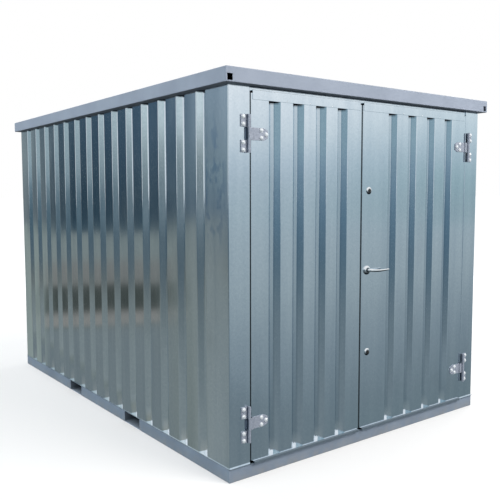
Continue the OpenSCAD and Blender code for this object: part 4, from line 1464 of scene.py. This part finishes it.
# %% Lever
def swept(path, half_wide, half_tall, sides=28):
    """Ellipses carried along a path: ring k stands square to it, half_wide level and half_tall upright."""
    ahead = unit(np.gradient(path, axis=0))
    level = unit(np.cross(ahead, (0, 0, 1)))
    rise = np.cross(level, ahead)
    angle = np.linspace(0, 2 * np.pi, sides, endpoint=False)[None, :, None]
    wide, tall = np.asarray(half_wide)[:, None, None], np.asarray(half_tall)[:, None, None]
    aside, up = level[:, None] * np.cos(angle) * wide, rise[:, None] * np.sin(angle) * tall
    return ringed(path[:, None] + aside + up)


lever_low, lever_high = corners("handle_lever")
neck_radius, arm_half, tip_half = 0.0085, (0.0055, 0.0090), (0.0040, 0.0050)
lever_bow, lever_up = 0.005, -0.003
neck_long, settle_long, tip_deep, neck_bend, neck_start = 0.012, 0.030, 0.008, 0.017, 0.0004
# Painted shade darkens the lever's underside.
lever_shade = (-0.0030, -0.0062)
arm_out = -lever_low[1] - half_length - arm_half[0]
arm_long = lever_high[0] - handle[0]
bend, _ = rounded([(0, neck_start), (0, arm_out), (arm_long, arm_out)], neck_bend, 10)
length = np.append(0, np.cumsum(np.linalg.norm(np.diff(bend, axis=0), axis=1)))
far = np.linspace(0, length[-1], 72)
plan = np.stack([np.interp(far, length, bend[:, k]) for k in range(2)], 1)
arm = np.clip((far - arm_out) / (length[-1] - arm_out), 0, 1)
droop = -lever_bow * np.sin(np.pi * arm) + lever_up * arm ** 3
lever_path = handle + np.stack([plan[:, 0], -plan[:, 1], droop], 1)
past_neck = np.clip((far - neck_long) / settle_long, 0, 1)
settle = past_neck ** 2 * (3 - 2 * past_neck)
into_tip = ((far - length[-1] + tip_deep) / tip_deep).clip(0, 0.995)
tip_round = np.sqrt(1 - into_tip ** 2)
half_wide, half_tall = ((neck_radius + (along - neck_radius) * settle + (tip - along) * arm) * tip_round
                        for along, tip in zip(arm_half, tip_half))
lever_metal = polished("lever_metal", srgb(236, 239, 242), 0.08, handle[2], lever_shade)
form("handle_lever", "polished_metal", (swept(lever_path, half_wide, half_tall), lever_metal))
print("lever", arm_long, "long, stands", arm_out, "out")


# %% [markdown]
# ## Small fixings
# Blind rivets hold each top plate to the ridges between the recesses. The rim's mitres are welded, and the
# bead shows as a rippled line down each corner.

# %% Rivets and welds
rivet_radius, rivet_high, rivet_up = 0.0034, 0.0018, 0.007
for hand in ("left", "right"):
    low, high = corners(hand + "_door_top_rail")
    run, _, _ = leaf_size(hand)
    starts = recess_starts(run, door_recesses, *leaf_flats[hand], door_recess)
    ridges = (starts[:-1] + door_recess + starts[1:]) / 2
    places = [(x, low[1], low[2] + rivet_up) for x, _ in leaf_plan(hand, np.stack([ridges, 0 * ridges], 1))]
    rivet = slab(circle(rivet_radius, 14), dome(rivet_radius, rivet_high), (0, 0, 0), facing_front)
    rivets = copies(rivet, places)
    rides_with(hand + "_door_top_rail", hand + "_rail_rivets", rivets, bolt_zinc)
    print(hand, "rail has", len(places), "rivets")

bead_radius, bead_ripple, bead_ripples = 0.0024, 0.0004, 11
bead = np.linspace(0, 1, 67)
bead_rise = rim_radius + bead * (roof_top - wall_head - rim_radius * 2)
bead_levels = np.stack([bead_rise, bead_ripple * (1 - np.cos(bead * 2 * np.pi * bead_ripples))], 1)
bead_in = rim_radius * (1 - math.sqrt(0.5)) + bead_ripple
bead_corner = np.array([rim_half - bead_in, half_length + rim_over - bead_in, wall_head])
one_bead = slab(circle(bead_radius, 12), bead_levels, (0, 0, 0), upright)
beads = copies(one_bead, [bead_corner * (x, y, 1) for x in (-1, 1) for y in (-1, 1)])
rides_with("roof_rim_front", "rim_welds", beads, rim_paint)
print("welded corners at", bead_corner)
